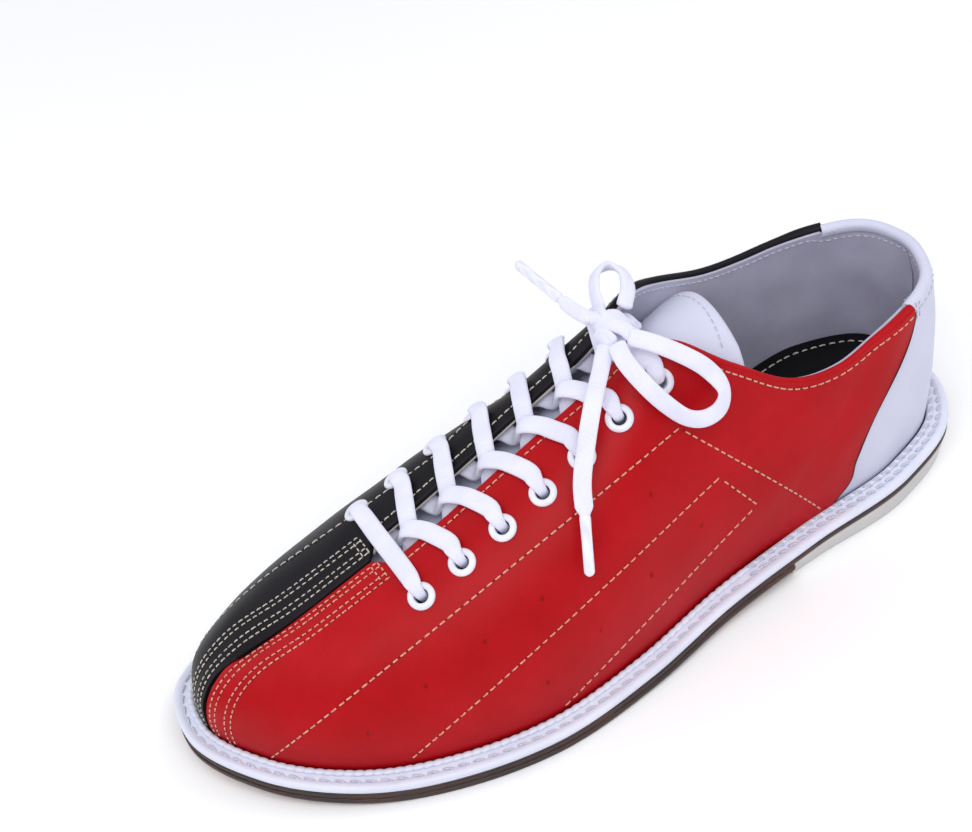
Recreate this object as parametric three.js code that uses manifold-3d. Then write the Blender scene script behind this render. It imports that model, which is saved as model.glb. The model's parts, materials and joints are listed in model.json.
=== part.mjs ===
// Bowling shoe, left foot: welted Oxford-style upper, leather slide sole and rubber heel.
// Millimetres, +X to the toe, +Y to the wearer's left (the lateral side), +Z up.

import * as THREE from 'three';
import { LoftGeometry } from 'three/addons/geometries/LoftGeometry.js';
import { mergeVertices } from 'three/addons/utils/BufferGeometryUtils.js';
import Module from 'manifold-3d';

const wasm = await Module();
wasm.setup();

const { clamp, lerp, smoothstep, degToRad } = THREE.MathUtils;
const vec = ( x, y, z ) => new THREE.Vector3( x, y, z );
const UP = vec( 0, 0, 1 );

// ---------------------------------------------------------------- driving dimensions

const LENGTH = 297; // outsole, heel back to toe tip
const GAP = 0.3; // clearance kept between touching pieces

// outsole edge in plan, [x, y], from the heel back along the lateral side to the toe and back
const LATERAL_EDGE = [
	[ 0, 0 ], [ 10, 22.5 ], [ 36, 36 ], [ 78, 40 ], [ 117, 44.5 ],
	[ 154, 52.5 ], [ 194, 56 ], [ 231, 48.5 ], [ 260, 35 ], [ 284, 14 ],
];
const TOE_TIP = [ LENGTH, - 12 ];
const MEDIAL_EDGE = [
	[ 292, - 36 ], [ 270, - 52.5 ], [ 238, - 60.5 ], [ 205, - 58.5 ], [ 165, - 45 ],
	[ 125, - 36 ], [ 82, - 35.5 ], [ 38, - 37 ], [ 10, - 23 ],
];

// height of the midsole's underside along the shoe
const BALL_UNDERSIDE = 2.6;
const HEEL_LIFT = 8.8;
const TOE_SPRING = 7.9;
const BALL_REAR = 195;
const BALL_FRONT = 235;
const HEEL_CENTRE = 20;

// thicknesses and heights above the midsole's underside
const SLIDE_SOLE = 2.3;
const MIDSOLE = 2.4;
const WELT_BASE = 2.7;
const WELT_TOP = 5.9;
const FEATHER = 6.6; // where the lining meets the insole
const WELT_WIDTH = 7.6;
const FEATHER_INSET = 12;
const LASTING_MARGIN = 13;
const HEEL_FRONT = 88; // heel breast
const HEEL_TAPER = 2.6;

// layers of the upper, measured outward from the lining's inner face
const LINING = [ 0, 1.0 ];
const STIFFENER = [ 1.3, 2.1 ];
const PANEL = [ 2.4, 3.9 ];
const FOXING = [ 4.2, 5.6 ];

const THROAT = 221;
const FLAP_GAP = 6; // half the lacing gap
const SEAM_GAP = 0.25;
const SEAM_REACH = 12; // how far from a seam its straightening reaches
const HEEL_SEAM_REACH = 30;
const COLLAR_CORNER = 0.262; // where the collar turns into the flap edge, as a share of the edge

const EYELETS = 7;
const FIRST_EYELET = 213.5;
const EYELET_PITCH = 16.1;
// eyelet number, then its distance from the middle line
const LATERAL_EYELETS = [ [ 0, 21.5 ], [ 3, 22.5 ], [ 6, 17.6 ] ];
const MEDIAL_EYELETS = [ [ 0, 21.5 ], [ 3, 20 ], [ 6, 15.8 ] ];
const EYELET_BORE = 2.5;
const EYELET_HOLE = 3.2;
const LACE_RADIUS = 1.6;
const CORD_SIDES = 8;

// the virtual rim and ridge that the walls rise to: share of the edge, then x, y, z
const RIM = [
	[ 0, 10, 0, 88 ], [ 0.06, 17, 18, 88 ], [ 0.12, 43, 27, 86 ], [ 0.17, 68, 26, 87 ],
	[ 0.215, 92, 17, 101 ], [ 0.25, 112, 6, 103.4 ], [ 0.28, 131, 0, 93 ], [ 0.31, 153, - 3, 83 ],
	[ 0.345, 180, - 4, 72 ], [ 0.38, 206, - 4, 62.5 ], [ 0.42, 231, - 5, 54 ], [ 0.46, 252, - 7, 46 ],
	[ 0.5, 270, - 11, 38 ], [ 0.54, 252, - 7, 46 ], [ 0.58, 231, - 5, 54 ], [ 0.62, 206, - 4, 62.5 ],
	[ 0.655, 180, - 4, 72 ], [ 0.69, 153, - 5, 83 ], [ 0.72, 131, - 7, 93 ], [ 0.75, 112, - 13, 104 ],
	[ 0.785, 92, - 22, 103 ], [ 0.83, 68, - 27, 93 ], [ 0.88, 43, - 27, 86 ], [ 0.94, 17, - 18, 88 ],
];
// one half of the symmetric wall settings: share of the edge, then the value
const WALL_LEAN = [ [ 0, 12 ], [ 0.12, 10 ], [ 0.25, 8 ], [ 0.38, 10 ], [ 0.5, 10 ] ];
const RIM_ELEVATION = [
	[ 0, 108 ], [ 0.06, 104 ], [ 0.12, 96 ], [ 0.17, 88 ], [ 0.215, 66 ],
	[ 0.25, 38 ], [ 0.28, 20 ], [ 0.31, 10 ], [ 0.38, 4 ], [ 0.5, 4 ],
];
const LOWER_REACH = [ [ 0, 0.36 ], [ 0.12, 0.38 ], [ 0.25, 0.40 ], [ 0.38, 0.45 ], [ 0.5, 0.62 ] ];
const UPPER_REACH = [ [ 0, 0.34 ], [ 0.12, 0.36 ], [ 0.215, 0.45 ], [ 0.28, 0.60 ], [ 0.38, 0.62 ], [ 0.5, 0.60 ] ];
// height of the collar's edge on each side: share of the edge, then the height
const LATERAL_COLLAR = [
	[ 0, 84 ], [ 0.06, 83.5 ], [ 0.12, 81 ], [ 0.148, 77.5 ], [ 0.178, 79.5 ], [ 0.21, 93 ], [ 0.234, 103 ], [ 0.262, 110 ],
];
const MEDIAL_COLLAR = [
	[ 0, 84 ], [ 0.06, 84 ], [ 0.12, 83.5 ], [ 0.148, 84 ], [ 0.178, 88 ], [ 0.21, 97.5 ], [ 0.234, 105 ], [ 0.262, 111 ],
];
// the middle line over the instep, x then y, z
const RIDGE = [
	[ 112, - 3.5, 101 ], [ 131, - 3.5, 93 ], [ 153, - 4, 83 ], [ 180, - 4, 72 ], [ 206, - 4, 62.5 ],
	[ 231, - 5, 54 ], [ 252, - 7, 46 ], [ 270, - 11, 38 ], [ LENGTH, - 12, 15 ],
];

// ---------------------------------------------------------------- interpolation

// Smooth curve through keys [place, ...values]; wraps round when period is given.
function through( keys, place, period = 0 ) {

	let list = keys;
	let at = place;
	if ( period ) {

		at = THREE.MathUtils.euclideanModulo( place, period );
		const before = keys.slice( - 2 ).map( ( [ k, ...v ] ) => [ k - period, ...v ] );
		const after = keys.slice( 0, 2 ).map( ( [ k, ...v ] ) => [ k + period, ...v ] );
		list = [ ...before, ...keys, ...after ];

	}

	at = clamp( at, list[ 0 ][ 0 ], list[ list.length - 1 ][ 0 ] );
	let i = 0;
	while ( i < list.length - 2 && at >= list[ i + 1 ][ 0 ] ) i ++;
	const span = list[ i + 1 ][ 0 ] - list[ i ][ 0 ];
	const t = ( at - list[ i ][ 0 ] ) / span;
	return list[ i ].slice( 1 ).map( ( a, n ) => {

		const b = list[ i + 1 ][ n + 1 ];
		const m0 = tangent( list, i, n + 1 ) * span;
		const m1 = tangent( list, i + 1, n + 1 ) * span;
		const ease = t * t * ( 3 - 2 * t );
		return a + ( b - a ) * ease + m0 * t * ( 1 - t ) ** 2 - m1 * t * t * ( 1 - t );

	} );

}

function slope( list, i, n ) {

	return ( list[ i + 1 ][ n ] - list[ i ][ n ] ) / ( list[ i + 1 ][ 0 ] - list[ i ][ 0 ] );

}

function tangent( list, i, n ) {

	if ( i === 0 ) return slope( list, 0, n );
	if ( i === list.length - 1 ) return slope( list, i - 1, n );
	const before = list[ i ][ 0 ] - list[ i - 1 ][ 0 ];
	const after = list[ i + 1 ][ 0 ] - list[ i ][ 0 ];
	return ( slope( list, i - 1, n ) * after + slope( list, i, n ) * before ) / ( before + after );

}

const mirrored = ( keys ) => [ ...keys, ...keys.slice( 1, - 1 ).reverse().map( ( [ k, v ] ) => [ 1 - k, v ] ) ];
const setting = ( keys ) => {

	const ring = mirrored( keys );
	return ( u ) => through( ring, u, 1 )[ 0 ];

};

const wallLean = setting( WALL_LEAN );
const rimElevation = setting( RIM_ELEVATION );
const lowerReach = setting( LOWER_REACH );
const upperReach = setting( UPPER_REACH );

// Value of low..high at which a rising function reaches target.
function bisect( rising, target, low, high ) {

	for ( let n = 0; n < 26; n ++ ) {

		const middle = ( low + high ) / 2;
		if ( rising( middle ) < target ) low = middle;
		else high = middle;

	}

	return ( low + high ) / 2;

}

// ---------------------------------------------------------------- the last: outline, heights and walls

// Outline knots: 0 at the heel back, 0.5 at the toe tip, each side spaced by its own arc length.
function outlineKnots() {

	const half = ( points, from ) => {

		const run = [ 0 ];
		for ( let i = 1; i < points.length; i ++ ) {

			const step = Math.hypot( points[ i ][ 0 ] - points[ i - 1 ][ 0 ], points[ i ][ 1 ] - points[ i - 1 ][ 1 ] );
			run.push( run[ i - 1 ] + step );

		}

		const total = run[ run.length - 1 ];
		return points.map( ( p, i ) => [ from + 0.5 * run[ i ] / total, ...p ] ).slice( 0, - 1 );

	};

	const lateral = half( [ ...LATERAL_EDGE, TOE_TIP ], 0 );
	const medial = half( [ TOE_TIP, ...MEDIAL_EDGE, LATERAL_EDGE[ 0 ] ], 0.5 );
	return [ ...lateral, ...medial ];

}

const OUTLINE = outlineKnots();
const STEP = 1e-4; // for numeric slopes

function outward( u ) {

	const [ ax, ay ] = through( OUTLINE, u - STEP, 1 );
	const [ bx, by ] = through( OUTLINE, u + STEP, 1 );
	return vec( ay - by, bx - ax, 0 ).normalize();

}

// Height of the midsole's underside at x.
function underside( x ) {

	const rear = 1 - smoothstep( x, HEEL_CENTRE, BALL_REAR );
	const front = Math.max( 0, ( x - BALL_FRONT ) / ( LENGTH - BALL_FRONT ) );
	return BALL_UNDERSIDE + HEEL_LIFT * rear + TOE_SPRING * front ** 1.8;

}

// Point of the outsole edge moved inward, at a height above the midsole's underside.
function edgePoint( u, inset = 0, height = 0 ) {

	const [ x, y ] = through( OUTLINE, u, 1 );
	const p = vec( x, y, 0 ).addScaledVector( outward( u ), - inset );
	return p.setZ( underside( p.x ) + height );

}

// Point of the lining's inner face: u round the shoe, t from the insole (0) to the rim (1).
function wall( u, t ) {

	const foot = edgePoint( u, FEATHER_INSET, FEATHER );
	const top = vec( ...through( RIM, u, 1 ) );
	const rise = top.z - foot.z;
	const inward = vec( top.x - foot.x, top.y - foot.y, 0 );
	const reach = inward.length();
	inward.normalize();
	const lean = degToRad( wallLean( u ) );
	const finish = degToRad( rimElevation( u ) );
	const low = outward( u ).multiplyScalar( Math.sin( lean ) ).addScaledVector( UP, Math.cos( lean ) );
	const high = inward.multiplyScalar( Math.cos( finish ) ).addScaledVector( UP, Math.sin( finish ) );
	const span = reach * Math.abs( Math.cos( finish ) ) + rise * Math.abs( Math.sin( finish ) );
	const lift = foot.clone().addScaledVector( low, lowerReach( u ) * rise );
	const hang = top.clone().addScaledVector( high, - upperReach( u ) * span );
	return new THREE.CubicBezierCurve3( foot, lift, hang, top ).getPoint( t );

}

function wallNormal( u, t ) {

	const along = wall( u + STEP, t ).sub( wall( u - STEP, t ) );
	const upward = wall( u, Math.min( 1, t + STEP ) ).sub( wall( u, Math.max( 0, t - STEP ) ) );
	return upward.cross( along ).normalize();

}

const skin = ( u, t, depth ) => wall( u, t ).addScaledVector( wallNormal( u, t ), depth );

const ridgeY = ( x ) => through( RIDGE, x )[ 0 ];
const ridgeZ = ( x ) => through( RIDGE, x )[ 1 ];
const besideRidge = ( p ) => p.y - ridgeY( p.x );

// Half the opening between the two sides: the lacing gap, closing to the toe seam at the throat.
const halfOpening = ( x ) => lerp( FLAP_GAP, SEAM_GAP, smoothstep( x, THROAT - FLAP_GAP, THROAT ) );

// Highest t that a side reaches at u: its collar at the back, its flap edge and seam in front.
function topOf( u ) {

	const half = u > 0.5 ? 1 - u : u;
	const height = u > 0.5 ? MEDIAL_COLLAR : LATERAL_COLLAR;
	const collar = half < COLLAR_CORNER ? bisect( ( t ) => wall( u, t ).z, through( height, half )[ 0 ], 0, 1 ) : 1;
	const side = u > 0.5 ? - 1 : 1;
	const crossed = ( p ) => halfOpening( p.x ) - side * besideRidge( p );
	const flap = half > 0.2 ? bisect( ( t ) => crossed( wall( u, t ) ), 0, 0, 1 ) : 1;
	return Math.min( collar, flap );

}

// ---------------------------------------------------------------- shared grid of the upper

// columns of one side, heel seam to toe seam, and rows as shares of the way to the top edge
const COLUMNS = [
	0.0006, 0.015, 0.032, 0.05, 0.075, 0.1, 0.118, 0.14, 0.165, 0.19, 0.212, 0.23, 0.245, 0.258, 0.27,
	0.285, 0.303, 0.322, 0.342, 0.362, 0.38, 0.395, 0.41, 0.43, 0.45, 0.468, 0.482, 0.492, 0.497, 0.4996,
];
const ROWS = [ 0.045, 0.2, 0.4, 0.6, 0.74, 0.76, 0.88, 1 ];
const FLANGE = 0;
const CORNER = 1;
const FIRST_ROW = 2;
const LAST_ROW = FIRST_ROW + ROWS.length - 1;
const INTERLINING_TOP = 6;
const STAY_BASTE = 7;

// Keeps a cell on its own side of the heel and toe seams, its layers never leaning across.
function besideSeam( u, { base, away } ) {

	const side = u > 0.5 ? - 1 : 1;
	const nearHeel = base.x < HEEL_SEAM_REACH;
	const seam = nearHeel ? 0 : ridgeY( base.x );
	const across = side * ( base.y - seam );
	if ( nearHeel || base.x > THROAT - FLAP_GAP ) {

		base.y = seam + side * Math.max( across, SEAM_GAP );
		if ( across < SEAM_REACH ) away.y = side * Math.max( side * away.y, 0 );

	}

	return { base, away };

}

// One column of base points, each with the direction in which its layers lie.
function gridColumn( u ) {

	const out = outward( u );
	const foot = edgePoint( u, FEATHER_INSET, FEATHER );
	const climb = ( underside( foot.x + STEP ) - underside( foot.x - STEP ) ) / ( 2 * STEP );
	const flange = { base: edgePoint( u, FEATHER_INSET + LASTING_MARGIN, FEATHER ), away: vec( 0, 0, - 1 ) };
	const corner = { base: foot, away: vec( out.x, out.y, climb * out.x - 1 ) };
	const top = topOf( u );
	const rows = ROWS.map( ( share ) => ( {
		base: wall( u, share * top ),
		away: wallNormal( u, share * top ),
	} ) );
	return [ flange, corner, ...rows ].map( ( cell ) => besideSeam( u, cell ) );

}

const grid = new Map();
function column( u ) {

	if ( ! grid.has( u ) ) grid.set( u, gridColumn( u ) );
	return grid.get( u );

}

const lateralColumns = ( from, to ) => COLUMNS.filter( ( u ) => u >= from && u <= to );
const medialColumns = ( from, to ) => lateralColumns( from, to ).map( ( u ) => 1 - u ).reverse();
const heelColumns = ( to ) => [ ...medialColumns( 0, to ), ...lateralColumns( 0, to ) ];
const toeColumns = ( from ) => [ ...lateralColumns( from, 0.5 ), ...medialColumns( from, 0.5 ) ];

// ---------------------------------------------------------------- solids

// Closed solid from a geometry whose facets may face in and whose ends may be pinched.
function solid( geometry ) {

	const bare = new THREE.BufferGeometry().copy( geometry );
	bare.deleteAttribute( 'normal' );
	bare.deleteAttribute( 'uv' );
	const welded = mergeVertices( bare, 1e-3 );
	const at = welded.getAttribute( 'position' );
	const index = welded.getIndex().array;
	const corners = [];
	let volume = 0;
	for ( let i = 0; i < index.length; i += 3 ) {

		const [ a, b, c ] = index.slice( i, i + 3 );
		if ( a === b || b === c || a === c ) continue;
		corners.push( a, b, c );
		const [ p, q, r ] = [ a, b, c ].map( ( n ) => vec().fromBufferAttribute( at, n ) );
		volume += p.dot( q.cross( r ) );

	}

	if ( volume < 0 ) corners.reverse();
	const mesh = new wasm.Mesh( {
		numProp: 3,
		vertProperties: new Float32Array( at.array ),
		triVerts: new Uint32Array( corners ),
	} );
	return new wasm.Manifold( mesh );

}

function geometryOf( body ) {

	const mesh = body.getMesh();
	const geometry = new THREE.BufferGeometry();
	geometry.setAttribute( 'position', new THREE.BufferAttribute( mesh.vertProperties, 3 ) );
	geometry.setIndex( new THREE.BufferAttribute( mesh.triVerts, 1 ) );
	geometry.computeVertexNormals();
	return geometry;

}

// Closed shell between two grids of points; both faces are cut along the same diagonals.
function shell( outer, inner ) {

	const [ rows, across ] = [ outer.length, outer[ 0 ].length ];
	const outside = ( i, j ) => i * across + j;
	const inside = ( i, j ) => ( rows + i ) * across + j;
	const index = [];
	const wallBetween = ( [ i, j ], [ k, l ] ) => {

		index.push( outside( k, l ), outside( i, j ), inside( i, j ) );
		index.push( outside( k, l ), inside( i, j ), inside( k, l ) );

	};

	for ( let i = 0; i < rows - 1; i ++ ) {

		for ( let j = 0; j < across - 1; j ++ ) {

			index.push( outside( i, j ), outside( i + 1, j ), outside( i + 1, j + 1 ) );
			index.push( outside( i, j ), outside( i + 1, j + 1 ), outside( i, j + 1 ) );
			index.push( inside( i, j ), inside( i + 1, j + 1 ), inside( i + 1, j ) );
			index.push( inside( i, j ), inside( i, j + 1 ), inside( i + 1, j + 1 ) );

		}

		wallBetween( [ i, 0 ], [ i + 1, 0 ] );
		wallBetween( [ i + 1, across - 1 ], [ i, across - 1 ] );

	}

	for ( let j = 0; j < across - 1; j ++ ) {

		wallBetween( [ rows - 1, j ], [ rows - 1, j + 1 ] );
		wallBetween( [ 0, j + 1 ], [ 0, j ] );

	}

	const points = [ ...outer.flat(), ...inner.flat() ];
	const geometry = new THREE.BufferGeometry().setFromPoints( points );
	geometry.setIndex( index );
	return solid( geometry );

}

// Piece of one layer of the upper over some columns and rows.
function sheet( places, [ inner, outer ], first, last ) {

	const face = ( depth ) => places.map( ( u ) => column( u ).slice( first, last + 1 )
		.map( ( { base, away } ) => base.clone().addScaledVector( away, depth ) ) );
	return shell( face( outer ), face( inner ) );

}

// Slab between two heights over the whole outline, moved inward; its lower edge may taper in.
function slab( inset, low, high, taper = 0 ) {

	const stations = 26;
	const ends = [ 0, 0.5 ].map( ( u ) => edgePoint( u, inset ).x );
	const rings = Array.from( { length: stations + 1 }, ( _, i ) => {

		const share = ( 1 - Math.cos( Math.PI * i / stations ) ) / 2;
		const x = lerp( ends[ 0 ], ends[ 1 ], share );
		const atEnd = i % stations === 0;
		const find = ( place ) => ( atEnd ? i / stations / 2 : bisect( ( u ) => edgePoint( place( u ), inset ).x, x, 0, 0.5 ) );
		const lateral = find( ( u ) => u );
		const medial = find( ( u ) => 1 - u );
		const corner = ( u, extra, height ) => {

			const p = edgePoint( u, inset + extra );
			return p.setZ( height( p.x ) );

		};

		return [
			corner( lateral, 0, high ), corner( lateral, taper, low ),
			corner( 1 - medial, taper, low ), corner( 1 - medial, 0, high ),
		];

	} );
	return solid( new LoftGeometry( rings ) );

}

const above = ( height ) => ( x ) => underside( x ) + height;

// Ring that follows the whole outline, from a section of [inset, height] corners.
function weltRing( section ) {

	const places = COLUMNS.slice( 1, - 1 );
	const round = [ 0, ...places, 0.5, ...places.map( ( u ) => 1 - u ).reverse(), 1 ];
	const rings = round.map( ( u ) => section.map( ( [ inset, height ] ) => edgePoint( u, inset, height ) ) );
	return solid( new LoftGeometry( rings ) );

}

// Block used to keep or cut a length of the shoe.
function lengthBlock( from, to ) {

	const width = 300;
	const box = new THREE.BoxGeometry( to - from, width, width );
	return solid( box.translate( ( from + to ) / 2, 0, 0 ) );

}

const turnTo = ( geometry, direction ) =>
	geometry.applyQuaternion( new THREE.Quaternion().setFromUnitVectors( vec( 0, 1, 0 ), direction ) );

function pegHole( radius, base, direction, reach ) {

	const peg = new THREE.CylinderGeometry( radius, radius, reach, 8 );
	return solid( turnTo( peg, direction ).translate( base.x, base.y, base.z ) );

}

// Round cord with eight sides through a list of points.
function cord( points, stepsEach = 1 ) {

	const path = new THREE.CatmullRomCurve3( points, false, 'centripetal' );
	// rings fall on the listed points, so bends stay where they are given
	path.getPointAt = path.getPoint;
	path.getTangentAt = path.getTangent;
	const circle = Array.from( { length: CORD_SIDES }, ( _, i ) => {

		const turn = i * 2 * Math.PI / CORD_SIDES;
		return new THREE.Vector2( LACE_RADIUS * Math.cos( turn ), LACE_RADIUS * Math.sin( turn ) );

	} );
	const steps = stepsEach * ( points.length - 1 );
	return solid( new THREE.ExtrudeGeometry( new THREE.Shape( circle ), { steps, extrudePath: path } ) );

}

// ---------------------------------------------------------------- eyelet places

// Place on a side, at x, a given distance across from the middle line.
function onFlap( side, x, across ) {

	const toU = ( half ) => ( side > 0 ? half : 1 - half );
	const tAt = ( u ) => bisect( ( t ) => - side * besideRidge( wall( u, t ) ), - across, 0.3, 1 );
	const half = bisect( ( h ) => wall( toU( h ), tAt( toU( h ) ) ).x, x, 0.215, 0.42 );
	const u = toU( half );
	return { u, t: tAt( u ) };

}

function eyeletPlace( side, number ) {

	const across = through( side > 0 ? LATERAL_EYELETS : MEDIAL_EYELETS, number )[ 0 ];
	const { u, t } = onFlap( side, FIRST_EYELET - number * EYELET_PITCH, across );
	return { base: wall( u, t ), axis: wallNormal( u, t ) };

}

const numbers = Array.from( { length: EYELETS }, ( _, i ) => i );
const eyelets = { lateral: numbers.map( ( n ) => eyeletPlace( 1, n ) ), medial: numbers.map( ( n ) => eyeletPlace( - 1, n ) ) };

const EYELET_DRILL = 14; // long enough to pass through every layer

function pierced( body, side ) {

	return eyelets[ side ].reduce( ( rest, { base, axis } ) =>
		rest.subtract( pegHole( EYELET_HOLE, base, axis, EYELET_DRILL ) ), body );

}

function eyelet( { base, axis } ) {

	const barrel = EYELET_BORE + 0.35;
	const profile = [
		[ EYELET_BORE, - 1.9 ], [ 4.2, - 1.9 ], [ 4.2, - 1.4 ], [ barrel, - 1.4 ], [ barrel, 4.3 ],
		[ 4.75, 4.3 ], [ 4.5, 4.9 ], [ EYELET_BORE, 5.2 ], [ EYELET_BORE, - 1.9 ],
	].map( ( [ r, z ] ) => new THREE.Vector2( r, z ) );
	return solid( turnTo( new THREE.LatheGeometry( profile, 8 ), axis ).translate( base.x, base.y, base.z ) );

}

// ---------------------------------------------------------------- upper

const sideColumns = { lateral: lateralColumns, medial: medialColumns };
const HEEL_COUNTER_END = 0.118;
const TOE_PUFF_START = 0.41;
const STAY_RANGE = [ 0.232, 0.4 ];

const lining = ( side ) => pierced( sheet( sideColumns[ side ]( 0, 0.5 ), LINING, FLANGE, LAST_ROW ), side );
const panel = ( side ) => pierced( sheet( sideColumns[ side ]( 0, 0.5 ), PANEL, FLANGE, LAST_ROW ), side );
const interlining = ( side ) => {

	const places = sideColumns[ side ]( HEEL_COUNTER_END + 0.01, TOE_PUFF_START - 0.01 );
	return pierced( sheet( places, STIFFENER, CORNER, INTERLINING_TOP ), side );

};

const eyeletStay = ( side ) => pierced( sheet( sideColumns[ side ]( ...STAY_RANGE ), STIFFENER, STAY_BASTE, LAST_ROW ), side );
const heelCounter = () => sheet( heelColumns( HEEL_COUNTER_END ), STIFFENER, FLANGE, INTERLINING_TOP );
const toePuff = () => sheet( toeColumns( TOE_PUFF_START ), STIFFENER, FLANGE, INTERLINING_TOP );

// White heel piece: a layer over the back, its front edge cut to a swept line.
function heelFoxing() {

	const whole = sheet( heelColumns( 0.14 ), FOXING, FIRST_ROW, LAST_ROW );
	const front = new THREE.Shape();
	front.moveTo( - 20, 0 );
	front.lineTo( 66, 0 );
	front.lineTo( 66, 18 );
	front.bezierCurveTo( 55, 24, 56, 36, 48, 48 );
	front.bezierCurveTo( 42, 62, 30, 72, 22, 95 );
	front.lineTo( - 20, 95 );
	const cutter = new THREE.ExtrudeGeometry( front, { depth: 200, bevelEnabled: false, curveSegments: 5 } );
	cutter.rotateX( Math.PI / 2 ).translate( 0, 100, 0 );
	return whole.intersect( solid( cutter ) );

}

// ---------------------------------------------------------------- tongue

const TONGUE_FRONT = 229;
const TONGUE_TOP = 94;
const TONGUE_DROP = [ [ 94, 7.5 ], [ 104, 8.4 ], [ 115, 10.6 ], [ 131, 8 ], [ 208, 7 ], [ 220, 4.8 ], [ 229, 2.9 ] ]; // below the ridge
const TONGUE_WIDTH = [ [ 94, 11 ], [ 102, 11.5 ], [ 116, 9.8 ], [ 131, 13 ], [ 160, 16 ], [ 206, 16.6 ], [ 222, 12 ], [ 229, 9 ] ];
const TONGUE_ARCH = [ [ 94, 0.062 ], [ 120, 0.063 ], [ 131, 0.05 ], [ 153, 0.03 ], [ 180, 0.014 ], [ 229, 0.009 ] ];
const TONGUE_CREST = [ [ 94, 107.5 ], [ 104, 104.8 ], [ 112, 101.6 ], [ 120, 98.2 ], [ 131, 93 ] ];
const TONGUE_LEATHER = [ - 0.2, 1.6 ];
const TONGUE_LINING = [ - 1.6, - 0.5 ];

const RIDGE_START = 131; // further back the tongue stands away from the flaps' ridge
const crest = ( x ) => ( x < RIDGE_START ? through( TONGUE_CREST, x )[ 0 ] : ridgeZ( x ) );

function tonguePoint( x, across, depth ) {

	const drop = through( TONGUE_DROP, x )[ 0 ] + through( TONGUE_ARCH, x )[ 0 ] * across * across;
	const slopeX = ( crest( x + 1 ) - crest( x - 1 ) ) / 2;
	const slopeY = - 2 * through( TONGUE_ARCH, x )[ 0 ] * across;
	const normal = vec( - slopeX, - slopeY, 1 ).normalize();
	return vec( x, ridgeY( x ) + across, crest( x ) - drop ).addScaledVector( normal, depth );

}

function tongueSheet( [ inner, outer ] ) {

	const stations = 12;
	const face = ( depth ) => Array.from( { length: stations + 1 }, ( _, i ) => {

		const x = lerp( TONGUE_FRONT, TONGUE_TOP, i / stations );
		const half = through( TONGUE_WIDTH, x )[ 0 ];
		return [ - 1, - 0.75, - 0.4, 0, 0.4, 0.75, 1 ].map( ( share ) => tonguePoint( x, share * half, depth ) );

	} );
	return shell( face( outer ), face( inner ) );

}

// ---------------------------------------------------------------- sole

const HEEL_TAP_REAR = 22; // rear of the D-shaped tap
const HEEL_TAP_FRONT = 72;
const HEEL_TAP_HALF = 19;
const HEEL_TAP_DEPTH = 2.2;
const NAILS = [ [ 31, 0 ], [ 45, 8 ], [ 45, - 9 ], [ 63, 9 ], [ 63, - 9 ] ];
const NAIL_RADIUS = 1;

// D-shaped outline in plan: straight at the heel breast, round at the back.
function tapShape( shrink ) {

	const half = HEEL_TAP_HALF - shrink;
	const shape = new THREE.Shape();
	shape.moveTo( HEEL_TAP_FRONT - shrink, - half );
	shape.lineTo( HEEL_TAP_FRONT - shrink, half );
	shape.lineTo( HEEL_TAP_REAR + HEEL_TAP_HALF, half );
	shape.absarc( HEEL_TAP_REAR + HEEL_TAP_HALF, 0, half, Math.PI / 2, 3 * Math.PI / 2, false );
	return shape;

}

function tap( shrink, low, high ) {

	const options = { depth: high - low, bevelEnabled: false, curveSegments: 12 };
	return solid( new THREE.ExtrudeGeometry( tapShape( shrink ), options ).translate( 0, 0, low ) );

}

function nailed( body ) {

	return NAILS.reduce( ( rest, [ x, y ] ) => rest.subtract( pegHole( NAIL_RADIUS + GAP, vec( x, y, 12 ), UP, 22 ) ), body );

}

function heelNail( [ x, y ] ) {

	const head = underside( x ) + FEATHER + 2;
	const tip = 4.5;
	const profile = [ [ 0, tip ], [ NAIL_RADIUS, tip + 2 ], [ NAIL_RADIUS, head ], [ 0, head ] ];
	const points = profile.map( ( [ r, z ] ) => new THREE.Vector2( r, z ) );
	return solid( new THREE.LatheGeometry( points, 8 ).rotateX( Math.PI / 2 ).translate( x, y, 0 ) );

}

const slideSole = () => slab( 0, above( - SLIDE_SOLE - GAP ), above( - GAP ) )
	.intersect( lengthBlock( HEEL_FRONT + GAP, LENGTH + 10 ) );
const heelBlock = () => nailed( slab( 0.6, () => 0, above( - GAP ), HEEL_TAPER )
	.intersect( lengthBlock( - 10, HEEL_FRONT ) )
	.subtract( tap( 0, - 1, HEEL_TAP_DEPTH + GAP ) ) );
const heelTap = () => tap( GAP, 0, HEEL_TAP_DEPTH );
const midsole = () => nailed( slab( 0, above( 0 ), above( MIDSOLE ) ) );
const welt = () => weltRing( [ [ 0, WELT_BASE ], [ 0, WELT_TOP ], [ WELT_WIDTH, WELT_TOP ], [ WELT_WIDTH, WELT_BASE ] ] );
const weltBead = () => weltRing( [ [ 5.2, 6.2 ], [ 5, 7.2 ], [ 6, 8.2 ], [ 7.2, 7.9 ], [ 7.3, 6.2 ] ] );
const insoleBoard = () => nailed( slab( FEATHER_INSET + 1, above( FEATHER + 0.3 ), above( FEATHER + 2.3 ) ) );
const sockLiner = () => slab( FEATHER_INSET + 1, above( FEATHER + 2.6 ), above( FEATHER + 4.4 ) );
const FILLER_INSET = FEATHER_INSET + LASTING_MARGIN + 0.6;
const filling = ( from, to ) => slab( FILLER_INSET, above( MIDSOLE + GAP ), above( FEATHER ) )
	.intersect( lengthBlock( from, to ) );
const SEAT_FRONT = 68;
const CORK_REAR = 168;
const CORK_FRONT = 285;
const corkFiller = () => filling( CORK_REAR, CORK_FRONT );
const seatPad = () => nailed( filling( - 10, SEAT_FRONT ) );

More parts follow.
